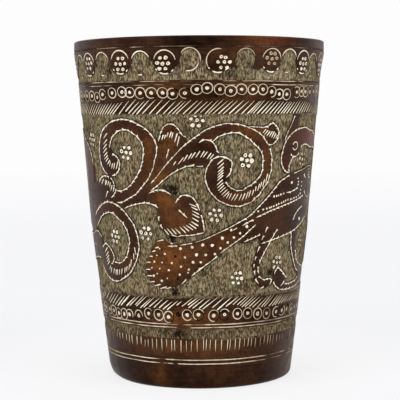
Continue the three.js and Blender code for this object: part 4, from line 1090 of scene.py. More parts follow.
LOWER_CUTS = [
    (-57.5, 34.6, -53.5, 37.6), (-55.8, 34.2, -51.6, 37.6), (-52.7, 33.9, -47.9, 37.8),
    (-50.5, 33, -45.6, 37), (-49.2, 32.4, -43.4, 36.7), (-46.4, 32.5, -41, 37),
    (-44.5, 32.2, -38.5, 36.7), (-42.4, 32, -36.4, 36.6), (-40, 32.4, -34, 37),
    (-36.2, 32.5, -30.2, 36.8), (-37.6, 33.9, -33.2, 37.3), (-34.1, 32.8, -27.9, 37.3),
    (-30.7, 33.4, -25.6, 37.5), (-30, 33, -24, 37.5), (-27.9, 32.4, -22.1, 36.7),
    (-26.1, 32.7, -20.3, 37.2), (-23.1, 33.2, -17.8, 37), (-20.8, 33, -16, 37), (-18.3, 33, -13.8, 36.5),
    (-16.5, 32.5, -12.1, 35.8), (-14.6, 32.4, -9.6, 36.2), (-10.2, 34.4, -7.9, 36.1),
    (-7.9, 34, -3.1, 37.5), (-5.3, 34.6, -1, 37.6), (-5, 33.5, 0, 37.2), (-3.3, 33.3, 2, 37.2),
    (-0.6, 33.2, 4.4, 37.1), (1, 32.9, 7.6, 37.7), (5.2, 33.5, 10.4, 37.6), (7.3, 32.5, 13.6, 37.6),
    (11.1, 33.8, 16.8, 37.7), (14.2, 34.4, 18.5, 37.6), (16.2, 34.2, 20.7, 37.6),
    (17.5, 33.8, 22.3, 37.7), (18.4, 33.2, 24.2, 37.5), (19.9, 33.2, 25.6, 37.2), (22, 33.2, 27.1, 36.8),
    (23.6, 32.7, 28.6, 36.2), (26.2, 32.5, 31.7, 36.7), (28.4, 32.5, 33.7, 37.1),
    (29.9, 32.4, 35.2, 36.8), (32.7, 32.4, 38, 36.5), (34.8, 32.4, 40, 36.7), (36.6, 32.5, 41.6, 36.7),
    (38.7, 32.6, 43.4, 36.4), (40.8, 32.8, 45.2, 36.3), (43, 33, 47.2, 36.2), (45.2, 32.9, 49.6, 36.2),
    (47.6, 33, 52, 36.2), (50, 33.2, 54.2, 36.3), (52.4, 33.2, 56.4, 36.4),
]
# The heavier ones, by their lower ends
HEAVY_CUTS = {(-28.4, 110.9), (7.3, 32.5), (-36.2, 32.5), (-5.8, 109.8), (-40, 32.4), (-42.4, 32)}
# Upright cuts under the strip: (u, z of the top, z of the bottom, width)
TICKS = [
    (-48.3, 21.3, 18.2, 0.6), (-45.8, 21.3, 18.4, 0.55), (-43.6, 21.4, 17.6, 0.8), (-41.2, 21.2, 18, 0.7),
    (-38.4, 20.6, 17.8, 0.45), (-36.4, 20.6, 17.1, 0.6), (-34.6, 20.6, 16.8, 0.85),
    (-31.4, 20.4, 16.8, 0.7), (-28.9, 20.5, 17.1, 0.7), (-26.7, 19.4, 16.4, 0.5), (-25, 19.6, 16.6, 0.5),
    (-22.8, 20.1, 15.6, 0.6), (-20.5, 20.2, 15.7, 0.6), (-18, 20.5, 15.5, 0.62), (-15.6, 20.4, 16.9, 0.6),
    (-13.2, 20.2, 15.4, 0.6), (-11.8, 20.2, 15.5, 0.6), (-8.8, 20.1, 15, 0.65), (-6.4, 20, 15.6, 0.5),
    (-4, 19.9, 15.5, 0.45), (-1.5, 20.5, 15.5, 0.65), (1.4, 20.6, 15.9, 0.6), (2.7, 20.6, 16, 0.55),
    (4.5, 20.5, 15.9, 0.55), (6.8, 20.3, 15.6, 0.6), (9.6, 20.4, 15.7, 0.65), (12.5, 20.2, 15.7, 0.6),
    (13.7, 20.2, 15.9, 0.5), (16.1, 20.3, 15.9, 0.6), (18.3, 20.5, 15.7, 0.65), (20.6, 20.2, 16.7, 0.6),
    (22.7, 20.3, 16.6, 0.65), (24.3, 20, 16.3, 0.7), (26.5, 20, 15.9, 0.7), (29.3, 20, 16.1, 0.75),
    (31.7, 20.4, 16.8, 0.75), (33.8, 20.4, 16.4, 0.6), (35.5, 20.2, 16.7, 0.55), (37.5, 20, 15.9, 0.6),
    (40.2, 19.8, 16.9, 0.6), (42.5, 19.6, 17, 0.45), (45.2, 19.5, 17, 0.45), (48, 19.4, 16.8, 0.4),
    (51, 19.3, 16.4, 0.45),
]


def behind(traced, margin, pitch, wander):
    """Places at about a pitch round the back, from the last traced mark to the first, each moved a little"""
    start, end = traced[-1][0] + margin, traced[0][0] + FULL_TURN - margin
    count = round((end - start) / pitch)
    return [start + (end - start) * (i + 0.5) / count + chance.uniform(-wander, wander) for i in range(count)]


def punched_ring(u, z, reach, across, widths, gap=None):
    """A ring of paste on a dark disc a little wider than it, with a dot in its middle"""
    reach = reach * chance.uniform(0.96, 1.04)
    across = across * chance.uniform(0.9, 1.12)
    thin = thinness(u, z)
    tone = chance.uniform(0.1, 0.5) + 0.3 * thin
    widths = [width * (1 - 0.25 * thin) for width in widths]
    hollow_reach = reach + widths[1] / 2 + 0.08
    disc(hollows_and_shade, u, z, hollow_reach, SHADE_AND_HOLLOW_TOP, PASTE_ROOT, tone, sides=28, dome=-0.02, ragged=0.0)
    ring(paste, u, z, reach, widths, SURFACE_TOP, PASTE_ROOT, tone, gap=gap)
    dot(u, z, across, tone=tone * 0.5, pricked=0.3)


# A ring that has lost its paste, and the radius of the hollow left
EMPTY_RING = (-9.6, 30.7)
EMPTY_RING_RADIUS = 1.15
OPEN_RING_SHARE = 0.2


def ring_row(traced, gaps, reach, across, widths, level):
    """A row of punched rings of radius reach, the traced ones and others at a level behind"""
    for u, z in traced:
        if (u, z) == EMPTY_RING:
            hollow(u, z, EMPTY_RING_RADIUS)
        else:
            punched_ring(u, z, reach, across, widths, gaps.get(u))
    pitch = 2 * reach + 0.1
    for u in behind(traced, pitch / 2, pitch, 0.25):
        gap = None
        if chance.random() < OPEN_RING_SHARE:
            start = chance.uniform(0, 360)
            gap = (start, start + chance.uniform(35, 120))
        z = level + 0.5 * math.sin(u / 19) + chance.uniform(-0.35, 0.35)
        punched_ring(u, z, reach, across, widths, gap)


HEAVY_WIDTH = 0.68
SLANTED_START = 0.14
# how far the painted groove shade reaches round a slanted cut
SLANTED_SHADE_AND_DIRT = 0.3
SLANTED_WIDTHS = (0.42, 0.58)
SLANTED_PITCH = 1.9


def slanted_cut(u0, z0, u1, z1, thin=0.0):
    """A cut down from (u1, z1) to its wide end at (u0, z0)"""
    wide = HEAVY_WIDTH if (u0, z0) in HEAVY_CUTS else chance.uniform(*SLANTED_WIDTHS)
    tone = tone_of_paste(0, 0.4) + 0.3 * thin
    cut([(u1, z1), (u0, z0)], SLANTED_START, wide * (1 - 0.25 * thin), tone=tone, shade_and_dirt=SLANTED_SHADE_AND_DIRT)


def slanted_row(traced, low, high, lean):
    """A row of slanted cuts, the traced ones and others from low to high behind"""
    for u0, z0, u1, z1 in traced:
        slanted_cut(u0, z0, u1, z1, thinness((u0 + u1) / 2, (z0 + z1) / 2))
    for u in behind(traced, SLANTED_PITCH / 2, SLANTED_PITCH, 0.3):
        z0, z1 = low + chance.uniform(0, 0.5), high + chance.uniform(-0.4, 0.4)
        slanted_cut(u, z0, u + lean, z1)


TICK_PITCH = 2.2
TICK_START = 0.2
# how far the painted groove shade reaches round a tick
TICK_SHADE_AND_DIRT = 0.25
TICK_LEANS = (0, 0.3)
TICK_TONES = (0.3, 0.55)


def tick(u, lean, bottom, top, wide, tone):
    cut([(u - lean, bottom), (u, top)], TICK_START, wide, tone=tone, shade_and_dirt=TICK_SHADE_AND_DIRT)


def ticks():
    """The short upright cuts under the strip"""
    for u, top, bottom, wide in TICKS:
        tone, lean = chance.uniform(*TICK_TONES), chance.uniform(*TICK_LEANS)
        tick(u, lean, bottom, min(top, STRIP[0] - 0.1), 0.8 * wide, tone)
    for u in behind(TICKS, 1, TICK_PITCH, 0.35):
        bottom, top = chance.uniform(15.5, 16.8), chance.uniform(20, 20.6)
        lean, wide = chance.uniform(*TICK_LEANS), chance.uniform(0.4, 0.6)
        tick(u, lean, bottom, top, wide, chance.uniform(*TICK_TONES))


# Scallops: (u, z of the top, half width, dark) of each traced one, and the rest behind

TRACED_SCALLOPS = [
    (-55.3, 133.9, 3.6, False), (-47.3, 134.3, 4.0, True), (-38.3, 134.2, 3.7, False),
    (-29.4, 134.6, 4.0, True), (-20.8, 134.1, 3.7, False), (-11.9, 134.3, 3.9, True),
    (-3.1, 135.1, 3.6, False), (6.6, 134.7, 4.1, True), (16.3, 134.9, 3.7, False), (26.6, 135, 4.0, True),
    (34.6, 135, 3.8, False), (42.7, 134.7, 3.9, True), (50.0, 133.8, 3.6, False),
]
# Dots of the flowers in the dark scallops, as (u, z)
FLOWERS = {
    -47.3: [(-48, 132.1), (-46.1, 132), (-49.1, 130.3), (-47.1, 130), (-45.1, 130.3), (-48.7, 128.2),
            (-46.3, 128.2)],
    -29.4: [(-30, 131.5), (-28, 131.5), (-31.3, 129.5), (-29.3, 129.3), (-27.3, 129.5), (-30.6, 127.3),
            (-28.3, 127.3)],
    -11.9: [(-13.4, 131.3), (-11.4, 131.4), (-14.5, 129.4), (-12.6, 129.1), (-10.6, 129.2),
            (-13.8, 127.2), (-11.6, 127.2)],
    6.6: [(7.6, 131.6), (9.1, 131.3), (6.5, 129.6), (8.7, 129.6), (10.6, 129.6), (7.5, 127.5),
          (9.7, 127.5)],
    26.6: [(24.5, 131.4), (26.6, 131), (28.6, 131.3), (25.4, 129.3), (27.8, 129.2), (26, 133.1),
           (27.7, 133)],
    42.7: [(42.2, 131.5), (43.9, 131.5), (41, 129.7), (42.9, 129.4), (44.8, 129.6), (42, 127.5),
           (44.1, 127.5)],
}
PLAIN_FLOWER = [(-0.9, 1.6), (1, 1.6), (-2, -0.3), (0, -0.4), (2, -0.3), (-1, -2.4), (1, -2.4)]
# How much more worn some arches are
WORN_ARCHES = {-3.1: 0.2, 6.6: 0.25, 16.3: 0.4, 26.6: 0.35}
# How low the brown between the arches comes, as (u, z)
GAP_LEVELS = [
    (-60, 130), (-51, 128.5), (-43, 129), (-34, 127.6), (-25, 129.4), (-16.3, 130.4), (-7.3, 129),
    (1.2, 130.2), (11.8, 127.4), (21.5, 127.2), (30.5, 130), (38.6, 130), (46.5, 129), (54, 129.5),
]
SCALLOP_HEIGHT = 9.2


HIDDEN_SCALLOPS = 19
# The engraved arch of a lobe, as (start, end) in degrees from +u towards up, and those that show only in part
DARK_ARCH = (12, 168)
PALE_ARCH = (22, 158)
SHORT_ARCHES = {6.6: (75, 215), -3.1: (-10, 150)}
# The short arcs under a dark lobe, as (start, end, width)
UNDER_ARCS = [(240, 290, 0.55), (306, 322, 0.45), (212, 224, 0.45)]
ARCH_WIDTH = 0.45
# how far the painted groove shade reaches round an arc
ARC_SHADE_AND_DIRT = 0.16
FLOWER_DOT_SIZES = (1.2, 1.5)
# The dark lobe whose flower is worn, the pale one whose lower cut lies aside, and the one without a cut
WORN_FLOWER = 26.6
WORN_FLOWER_TONE = 0.62
ASIDE_CUT = -3.1
NO_CUT = 16.3


def all_scallops():
    """The traced lobes and, at about their pitch, the hidden ones"""
    first, last = TRACED_SCALLOPS[0][0] + FULL_TURN, TRACED_SCALLOPS[-1][0]
    out = list(TRACED_SCALLOPS)
    for i in range(HIDDEN_SCALLOPS):
        u = last + (first - last) * (i + 1) / (HIDDEN_SCALLOPS + 1) + chance.uniform(-0.4, 0.4)
        out.append((u, 134.5 + chance.uniform(-0.4, 0.4), chance.uniform(3.6, 4), i % 2 == 0))
    return out


def arc(u, z, across, up, start, end):
    """Points along part of an oval, from a start to an end in degrees"""
    turn = np.radians(np.linspace(start, end, max(4, round(abs(end - start) / 9))))
    return np.column_stack([u + across * np.cos(turn), z + up * np.sin(turn)])


def arc_line(u, z, across, up, start, end, wide, tone):
    """A cut along part of an oval, thin at both ends"""
    path = arc(u, z, across, up, start, end)
    share = np.linspace(0, 1, len(path))
    swell = np.minimum(1, np.minimum(share, 1 - share) * 5 + 0.25) * wide / 2
    swell = swell * (1 + 0.18 * np.sin(share * 9 + chance.uniform(0, 6)))
    ribbon(paste, path, swell, swell, SURFACE_TOP, PLATE_ROOT, tone)
    # the wider dark ribbon paints the shade in the arc's groove
    ribbon(hollows_and_shade, path, swell + ARC_SHADE_AND_DIRT, swell + ARC_SHADE_AND_DIRT, SHADE_AND_HOLLOW_TOP, PLATE_ROOT, tone)


scallop_field = Field(SEAM_U, SEAM_U + FULL_TURN, *SCALLOPS)
scallops = all_scallops()
u_grid, z_grid = np.meshgrid(scallop_field.us, scallop_field.zs)
gap_us, gap_zs = zip(*GAP_LEVELS)
brown = np.interp(u_grid, gap_us, gap_zs) + 0.3 * np.sin(u_grid / 0.9) - z_grid
for u, top, across, dark in scallops:
    middle, up = top - SCALLOP_HEIGHT / 2, SCALLOP_HEIGHT / 2
    for turn in (-FULL_TURN, 0, FULL_TURN):
        reach = np.hypot((u_grid - u - turn) / across, (z_grid - middle) / up)
        oval = (reach - 1) * across
        brown = np.minimum(brown, oval) if dark else np.maximum(brown, -oval)
scallop_field.values = np.clip(brown, -FAR, FAR)


def scallop_marks():
    """The arch engraved round each lobe, the flowers in the dark lobes and the cut in the pale ones"""
    for u, top, across, dark in scallops:
        middle, up = top - SCALLOP_HEIGHT / 2, SCALLOP_HEIGHT / 2
        start, end = SHORT_ARCHES.get(u, DARK_ARCH if dark else PALE_ARCH)
        start, end = start + chance.uniform(-6, 6), end + chance.uniform(-6, 6)
        worn = WORN_ARCHES.get(u, 0)
        wide = ARCH_WIDTH * (1 - 0.6 * worn)
        arc_line(u, middle, across, up, start, end, wide, worn + tone_of_paste(0, 0.45))
        low = middle - up + 0.1
        if dark:
            for start, end, wide in UNDER_ARCS:
                arc_line(u, middle, across, up - 0.1, start, end, wide, tone_of_paste())
            tone, pricked = (WORN_FLOWER_TONE, 1) if u == WORN_FLOWER else (None, 0.5)
            for at in FLOWERS.get(u) or [(u + du, middle + dz) for du, dz in PLAIN_FLOWER]:
                dot(*at, chance.uniform(*FLOWER_DOT_SIZES), tone=tone, pricked=pricked)
        elif u == ASIDE_CUT:
            cut(arc(u - 0.6, 130.2, 3.6, 3.9, 258, 345), 0.5, 0.3, base=ON_GROUND)
        elif u != NO_CUT:
            cut(arc(u - 0.6, low + 1.4, 2.2, 1.4, 248, 292), 0.35, 0.5, base=ON_GROUND)


both(frieze_marks)
ring_row(UPPER_RINGS, UPPER_GAPS, reach=2.05, across=1.35, widths=(0.2, 0.42), level=118.3)
ring_row(LOWER_RINGS, LOWER_GAPS, reach=2.2, across=1.5, widths=(0.2, 0.44), level=29.8)
slanted_row(UPPER_CUTS, low=109.8, high=114.8, lean=4.9)
slanted_row(LOWER_CUTS, low=32.6, high=37, lean=5)
ticks()
scallop_marks()


# Matted grounds: thin bodies sunk in the wall, their tops dented by the tracer

DENT_COLUMNS = 640
DENT_ROW = 0.5
DENT_DEPTH = 0.03
BORDER_RISE = 0.2
BORDER_REACH = 1.2


def dents(rows, columns, seed):
    """Fine dents, longer upwards than across, from about -1 to 1"""
    field = np.random.default_rng(seed).normal(size=(rows, columns))
    field = (np.roll(field, 1, axis=0) + 2 * field + np.roll(field, -1, axis=0)) / 2.45
    field = (np.roll(field, 1, axis=1) + 3 * field + np.roll(field, -1, axis=1)) / 3.3
    return np.clip(field / 1.6, -1, 1)


def ground(piece, low, high, seed):
    """A matted ground all round, which rises a little at its upper and lower borders"""
    zs = np.linspace(low, high, round((high - low) / DENT_ROW) + 1)
    depth = dents(len(zs), DENT_COLUMNS, seed)
    to_edge = np.minimum(zs - low, high - zs)[:, None]
    points = np.empty((len(zs) + 2, DENT_COLUMNS, 3))
    points[:, :, 0] = around(DENT_COLUMNS)
    points[:-2, :, 1] = zs[:, None]
    points[:-2, :, 2] = GROUND + DENT_DEPTH * depth + BORDER_RISE * np.clip(1 - to_edge / BORDER_REACH, 0, 1)
    points[-2:, :, 1] = [[high], [low]]
    points[-2:, :, 2] = GROUND_ROOT
    tone = np.zeros((len(zs) + 2, DENT_COLUMNS))
    tone[:-2] = depth
    faces = grid_faces(len(zs) + 2, DENT_COLUMNS, closed_rows=True, closed_columns=True)
    piece.shell(points.reshape(-1, 3), faces, tone.ravel())


# The turned wall

WALL_COLUMNS = 320
BED = -0.92
GROOVE = 0.35
GROOVE_DEPTH = 0.5
TURNED_WAVE = 0.012
INSIDE_WAVE = 0.03
ROUND_POINTS = 6


def wall_section():
    """The wall's (z, w) points up the outside, over the lip and down the inside, with the faces' slots"""
    line = []

    def rise(to, step=1.6):
        """Plain metal up to a height, with fine turned waves"""
        start = line[-1][0]
        for z in np.linspace(start, to, max(2, round((to - start) / step) + 1))[1:]:
            line.append((z, TURNED_WAVE * math.sin(z * 5.3)))
        line[-1] = (to, 0.0)

    def groove(z):
        rise(z - GROOVE)
        line.extend([(z, -GROOVE_DEPTH), (z + GROOVE, 0.0)])

    def bed(low, high):
        """The step in which a matted ground lies"""
        rise(low)
        line.append((low + 0.01, BED))
        for z in np.linspace(low, high, max(2, round((high - low) / 6)))[1:-1]:
            line.append((z, BED))
        line.extend([(high - 0.01, BED), (high, 0.0)])

    for turn in np.radians(np.linspace(0, 90, ROUND_POINTS)):
        line.append((FOOT_ROUND * (1 - math.cos(turn)), -FOOT_ROUND * (1 - math.sin(turn))))
    for grooves, band in ((FOOT_LINES, STRIP), (WAIST_LINES, FRIEZE), (SHOULDER_LINES, SCALLOPS)):
        for z in grooves:
            groove(z)
        bed(*band)
    groove(RIM_LINE)
    rise(RIM_TOP - LIP_ROUND, 0.7)
    for turn in np.radians(np.linspace(15, 90, ROUND_POINTS)):
        line.append((RIM_TOP - LIP_ROUND * (1 - math.sin(turn)), -LIP_ROUND * (1 - math.cos(turn))))
    for turn in np.radians(np.linspace(0, 90, ROUND_POINTS)):
        line.append((RIM_TOP - LIP_ROUND * (1 - math.cos(turn)), -WALL + LIP_ROUND * (1 - math.sin(turn))))
    top_count = len(line) - 1
    for z in np.arange(RIM_TOP - 2, PLATE_TOP + 0.2, -2.2):
        line.append((z, -WALL + INSIDE_WAVE * math.sin(z * 0.9)))
    line.extend([(LEDGE_TOP, -WALL), (LEDGE_TOP, -2 * WALL), (0, -2 * WALL)])
    slots = [0] * top_count + [1] * (len(line) - top_count)
    return line, slots


LINE_COLUMNS = 900
SLOW_PITCH = 9
# The paste's section in a turned line: (side, w), where side times the half width gives z
LINE_PROFILE = ((-1, -0.16), (-1, 0), (0, 0.03), (1, 0), (1, -0.16), (0, -0.46))
LINE_TONE = 0.28
LINE_HALF_WIDTH = 0.2
HALF_WIDTHS = (0.04, 0.27)
HIGHEST_PASTE = 0.06


def line_ring(z, worn, spans, seed):
    """The paste in one turned line, worn all round and more in the spans of u"""
    us = around(LINE_COLUMNS)
    rng = np.random.default_rng(seed)
    rough = rng.normal(size=LINE_COLUMNS)
    rough = (np.roll(rough, 1) + 2 * rough + np.roll(rough, -1)) / 3
    places = np.arange(0, LINE_COLUMNS + SLOW_PITCH, SLOW_PITCH)
    slow = np.interp(np.arange(LINE_COLUMNS), places, rng.normal(size=len(places)))
    worn = np.clip(worn + near(us, spans) + 0.22 * slow, 0, 1)
    wide = np.clip(LINE_HALF_WIDTH * (1 - 0.7 * worn) + 0.03 * rough, *HALF_WIDTHS)
    lift = 0.03 - 0.16 * worn
    rows = []
    for side, height in LINE_PROFILE:
        line = np.empty((LINE_COLUMNS, 3))
        line[:, 0] = us
        line[:, 1] = z + side * wide + 0.03 * np.sin(us / 3.1)
        line[:, 2] = np.minimum(height + lift, HIGHEST_PASTE) if height > -0.1 else height - 0.05
        rows.append(line)
    out = Piece()
    faces = grid_faces(len(rows), LINE_COLUMNS, closed_rows=True, closed_columns=True)
    out.shell(np.concatenate(rows), faces, np.tile(LINE_TONE + (1 - LINE_TONE) * worn, len(rows)))
    return out


def near(u, spans):
    """The wear inside spans (start, end, wear) of u on the front half, mirrored behind"""
    u = front_u(u)
    out = np.zeros(len(u))
    for start, end, wear in spans:
        out = np.maximum(out, wear * np.clip(np.minimum(u - start, end - u) + 1, 0, 1))
    return out


# Materials


class Look:
    """One material, with its nodes made by short calls"""

    def __init__(self, name):
        self.material = bpy.data.materials.new(name)
        self.material.use_nodes = True
        self.tree = self.material.node_tree
        self.tree.nodes.clear()
        self.place = self.node("ShaderNodeTexCoord").outputs["Object"]

    def node(self, kind, settings=None, **inputs):
        node = self.tree.nodes.new(kind)
        for key, value in (settings or {}).items():
            setattr(node, key, value)
        for key, value in inputs.items():
            self.feed(node.inputs[key.replace("_", " ")], value)
        return node

    def feed(self, socket, value):
        if isinstance(value, bpy.types.NodeSocket):
            self.tree.links.new(value, socket)
        else:
            socket.default_value = value

    def attribute(self, name):
        return self.node("ShaderNodeAttribute", {"attribute_name": name}).outputs["Fac"]

    def stretched(self, x, y, z):
        """Object coordinates in millimetres, each axis scaled"""
        node = self.node("ShaderNodeMapping", {"vector_type": "POINT"}, Vector=self.place)
        node.inputs["Scale"].default_value = (1000 * x, 1000 * y, 1000 * z)
        return node.outputs["Vector"]

    def noise(self, pitch, stretch=(1, 1, 1), detail=2.0, roughness=0.5):
        """Noise of a pitch in millimetres; a stretch below 1 makes it longer along that axis"""
        at = self.stretched(*(s / pitch for s in stretch))
        node = self.node("ShaderNodeTexNoise", Vector=at, Scale=1.0, Detail=detail, Roughness=roughness)
        return node.outputs["Fac"]

    def span(self, value, low, high, to_low=0.0, to_high=1.0):
        """A value from low to high brought to another range, and held there"""
        node = self.node(
            "ShaderNodeMapRange", Value=value, From_Min=low, From_Max=high, To_Min=to_low, To_Max=to_high
        )
        return node.outputs["Result"]

    def math(self, operation, a, b):
        node = self.node("ShaderNodeMath", {"operation": operation, "use_clamp": True})
        self.feed(node.inputs[0], a)
        self.feed(node.inputs[1], b)
        return node.outputs[0]

    def both(self, a, b):
        return self.math("MULTIPLY", a, b)

    def mix(self, share, a, b):
        node = self.node("ShaderNodeMix", {"data_type": "RGBA"})
        for socket, value in ((node.inputs[0], share), (node.inputs[6], a), (node.inputs[7], b)):
            self.feed(socket, (*value, 1.0) if isinstance(value, tuple) else value)
        return node.outputs[2]

    def over(self, color, other, *spanned):
        """Another colour laid over a colour, as much as the spanned value says"""
        return self.mix(self.span(*spanned), color, other)

    def sheen(self, facing, edge):
        """Gloss that grows from the facing side to the edges"""
        weight = self.node("ShaderNodeLayerWeight", Blend=0.5)
        return self.span(weight.outputs["Facing"], 0.3, 0.85, facing, edge)

    def bump(self, height, strength, distance):
        """Fine relief, its depth in millimetres"""
        node = self.node("ShaderNodeBump", Height=height, Strength=strength, Distance=distance / 1000)
        return node.outputs["Normal"]

    def finish(self, color, roughness, metallic, specular, normal):
        shader = self.node(
            "ShaderNodeBsdfPrincipled",
            Base_Color=color,
            Roughness=roughness,
            Metallic=metallic,
            Specular_IOR_Level=specular,
            Normal=normal,
        )
        output = self.node("ShaderNodeOutputMaterial", Surface=shader.outputs["BSDF"])
        output.is_active_output = True
        return self.material


PATINA = (0.0315, 0.0128, 0.0076)
PATINA_LIGHT = (0.064, 0.0268, 0.0152)
PATINA_CLOUD = (0.092, 0.039, 0.0190)
PATINA_DARK = (0.0075, 0.0030, 0.0010)
RUBBED = (0.240, 0.085, 0.0180)
REDDENED = (0.15, 0.017, 0.009)
STREAK_LIGHT = (0.115, 0.055, 0.032)
STREAK_DARK = (0.012, 0.006, 0.003)
PIT = (0.010, 0.005, 0.003)
GRAIN_DARK = (0.012, 0.0052, 0.0018)
MATTED_EDGE = (0.17, 0.125, 0.066)


def matted_band(look, height, outer, full, full_end, inner):
    """1 from full to full_end, sinking to 0 at outer and at inner"""
    return look.both(look.span(height, outer, full), look.span(height, full_end, inner, 1, 0))


def matted_borders(look):
    """Where the tracer ran over the grounds' borders onto the plain metal"""
    height = look.node("ShaderNodeSeparateXYZ", Vector=look.stretched(1, 1, 1)).outputs["Z"]
    low = matted_band(look, height, FRIEZE[0] - 1.4, FRIEZE[0] - 0.7, FRIEZE[0] + 0.2, FRIEZE[0] + 0.3)
    high = matted_band(look, height, FRIEZE[1] + 0.6, FRIEZE[1] + 0.1, FRIEZE[1] - 0.2, FRIEZE[1] - 0.3)
    strip = matted_band(look, height, STRIP[0] - 1.2, STRIP[0] - 0.6, STRIP[0] + 0.2, STRIP[0] + 0.3)
    strip = look.both(strip, look.attribute("pale"))
    edges = look.math("ADD", look.math("ADD", low, high), strip)
    return look.both(edges, look.span(look.noise(1.4, detail=2), 0.40, 0.50))


def aged_metal(name, matted_edges=False):
    """Dark brown patina, warmer where it is rubbed, with fine turned streaks and pits"""
    look = Look(name)
    large = look.noise(14, detail=3)
    cloudy = look.noise(4, detail=4, roughness=0.6)
    streaks = look.noise(1.3, (0.1, 0.1, 1.5), detail=3, roughness=0.6)
    pits = look.noise(0.7, detail=2)
    grain = look.noise(0.9, (1, 1, 0.6), detail=3, roughness=0.6)
    dark = look.both(look.attribute("dark"), look.span(cloudy, 0.3, 0.65, 1, 0.55))
    warm = look.both(look.attribute("warm"), look.span(cloudy, 0.38, 0.58, 0.5, 1))
    red = look.both(look.attribute("red"), 0.75)
    color = look.over(PATINA, PATINA_LIGHT, large, 0.38, 0.62)
    color = look.over(color, PATINA_CLOUD, cloudy, 0.5, 0.75, 0, 0.7)
    color = look.mix(dark, color, PATINA_DARK)
    color = look.mix(warm, color, RUBBED)
    color = look.mix(red, color, REDDENED)
    color = look.over(color, STREAK_LIGHT, streaks, 0.52, 0.70, 0, 0.22)
    color = look.over(color, STREAK_DARK, streaks, 0.46, 0.34, 0, 0.3)
    color = look.over(color, PIT, pits, 0.28, 0.40, 0.55, 0)
    color = look.over(color, GRAIN_DARK, grain, 0.50, 0.36, 0, 0.45)
    if matted_edges:
        color = look.mix(matted_borders(look), color, MATTED_EDGE)
    roughness = look.span(cloudy, 0.3, 0.7, 0.36, 0.56)
    normal = look.bump(look.math("ADD", streaks, pits), 0.25, 0.05)
    return look.finish(color, roughness, metallic=0.35, specular=look.sheen(0.04, 0.2), normal=normal)


# The dark of the painted shade in grooves and on steep sides, and of old dirt
GRIME_AND_SHADE_DARK = (0.008, 0.0038, 0.0016)
GRIME_AND_SHADE_LIGHT = (0.024, 0.0115, 0.0050)


def grime_and_shade():
    """Dark that paints the shade in the chisel grooves and on the steep sides of the figures, with old dirt
    in cuts and hollows
    """
    look = Look("grime_and_shade")
    cloudy = look.noise(2.5, detail=3)
    color = look.over(GRIME_AND_SHADE_DARK, GRIME_AND_SHADE_LIGHT, cloudy, 0.35, 0.65)
    roughness = look.span(cloudy, 0.3, 0.7, 0.6, 0.8)
    normal = look.bump(look.noise(0.5), 0.3, 0.04)
    return look.finish(color, roughness, metallic=0.1, specular=0.03, normal=normal)


GROUND_PALE = (0.40, 0.325, 0.20)
GROUND_BROWN = (0.17, 0.108, 0.058)
COARSE_DARK = (0.060, 0.032, 0.008)
COARSE_LIGHT = (0.345, 0.268, 0.136)
FLECK_DARK = (0.040, 0.021, 0.004)
FLECK_LIGHT = (0.46, 0.38, 0.245)
FINE_LIGHT = (0.46, 0.38, 0.265)
DENT_DARK = (0.048, 0.031, 0.016)
DARKENING_BROWN = (0.050, 0.028, 0.010)
STAIN_AND_SHADE = (0.012, 0.007, 0.0045)


def matted_ground(name, first, second, darkening):
    """Khaki-grey matted ground of two shades with short upright flecks, stained in places and painted with
    shade along the raised figures
    """
    look = Look(name)
    flecks = look.noise(0.38, (1, 1, 0.24), detail=1)
    coarse = look.noise(2.1, detail=3, roughness=0.6)
    fine = look.noise(0.3, (1, 1, 0.4), detail=1)
    large = look.noise(8, detail=3)
    other = look.noise(6, detail=3)
    ragged = look.noise(0.8, (1, 1, 0.7), detail=3, roughness=0.6)
    color = look.over(first, second, large, 0.42, 0.58)
    color = look.mix(look.both(look.attribute("pale"), 0.85), color, GROUND_PALE)
    color = look.over(color, GROUND_BROWN, other, 0.50, 0.66, 0, 0.6)
    color = look.over(color, COARSE_DARK, coarse, 0.36, 0.52, 0.85, 0)
    color = look.over(color, COARSE_LIGHT, coarse, 0.52, 0.66, 0, 0.65)
    color = look.over(color, FLECK_DARK, flecks, 0.38, 0.51, 0.88, 0)
    color = look.over(color, FLECK_LIGHT, flecks, 0.52, 0.66, 0, 0.75)
    color = look.over(color, FINE_LIGHT, fine, 0.60, 0.72, 0, 0.35)
    color = look.over(color, DENT_DARK, look.attribute("tone"), -0.2, -0.9, 0, 0.6)
    # the whole ground made darker by this share
    color = look.mix(darkening, color, DARKENING_BROWN)
    # stains, and the painted shade along the raised figures
    stain_and_shade = look.both(look.attribute("stain_and_shade"), look.span(ragged, 0.38, 0.62, 1.5, 0.35))
    color = look.mix(stain_and_shade, color, STAIN_AND_SHADE)
    roughness = look.span(fine, 0.3, 0.7, 0.72, 0.88)
    normal = look.bump(flecks, 0.5, 0.12)
    return look.finish(color, roughness, metallic=0.15, specular=0.05, normal=normal)


CREAM = (0.99, 0.91, 0.76)
CREAM_YELLOWED = (0.93, 0.79, 0.55)
PASTE_DIRTY = (0.42, 0.275, 0.125)
PASTE_WORN = (0.09, 0.042, 0.024)
PASTE_SPECK = (0.28, 0.19, 0.12)


def pale_paste():
    """Cream paste, yellowed and dirty in places; a high tone is worn down to brown"""
    look = Look("pale paste")
    cloudy = look.noise(1.6, detail=3)
    tone = look.attribute("tone")
    color = look.over(CREAM, CREAM_YELLOWED, cloudy, 0.35, 0.65)
    color = look.over(color, PASTE_DIRTY, tone, 0.05, 0.6, 0, 0.75)
    color = look.over(color, PASTE_WORN, tone, 0.6, 0.95)
    color = look.over(color, PASTE_SPECK, look.noise(0.5), 0.60, 0.72, 0, 0.45)
    roughness = look.span(cloudy, 0.3, 0.7, 0.6, 0.8)
    normal = look.bump(cloudy, 0.3, 0.08)
    return look.finish(color, roughness, metallic=0.0, specular=0.3, normal=normal)


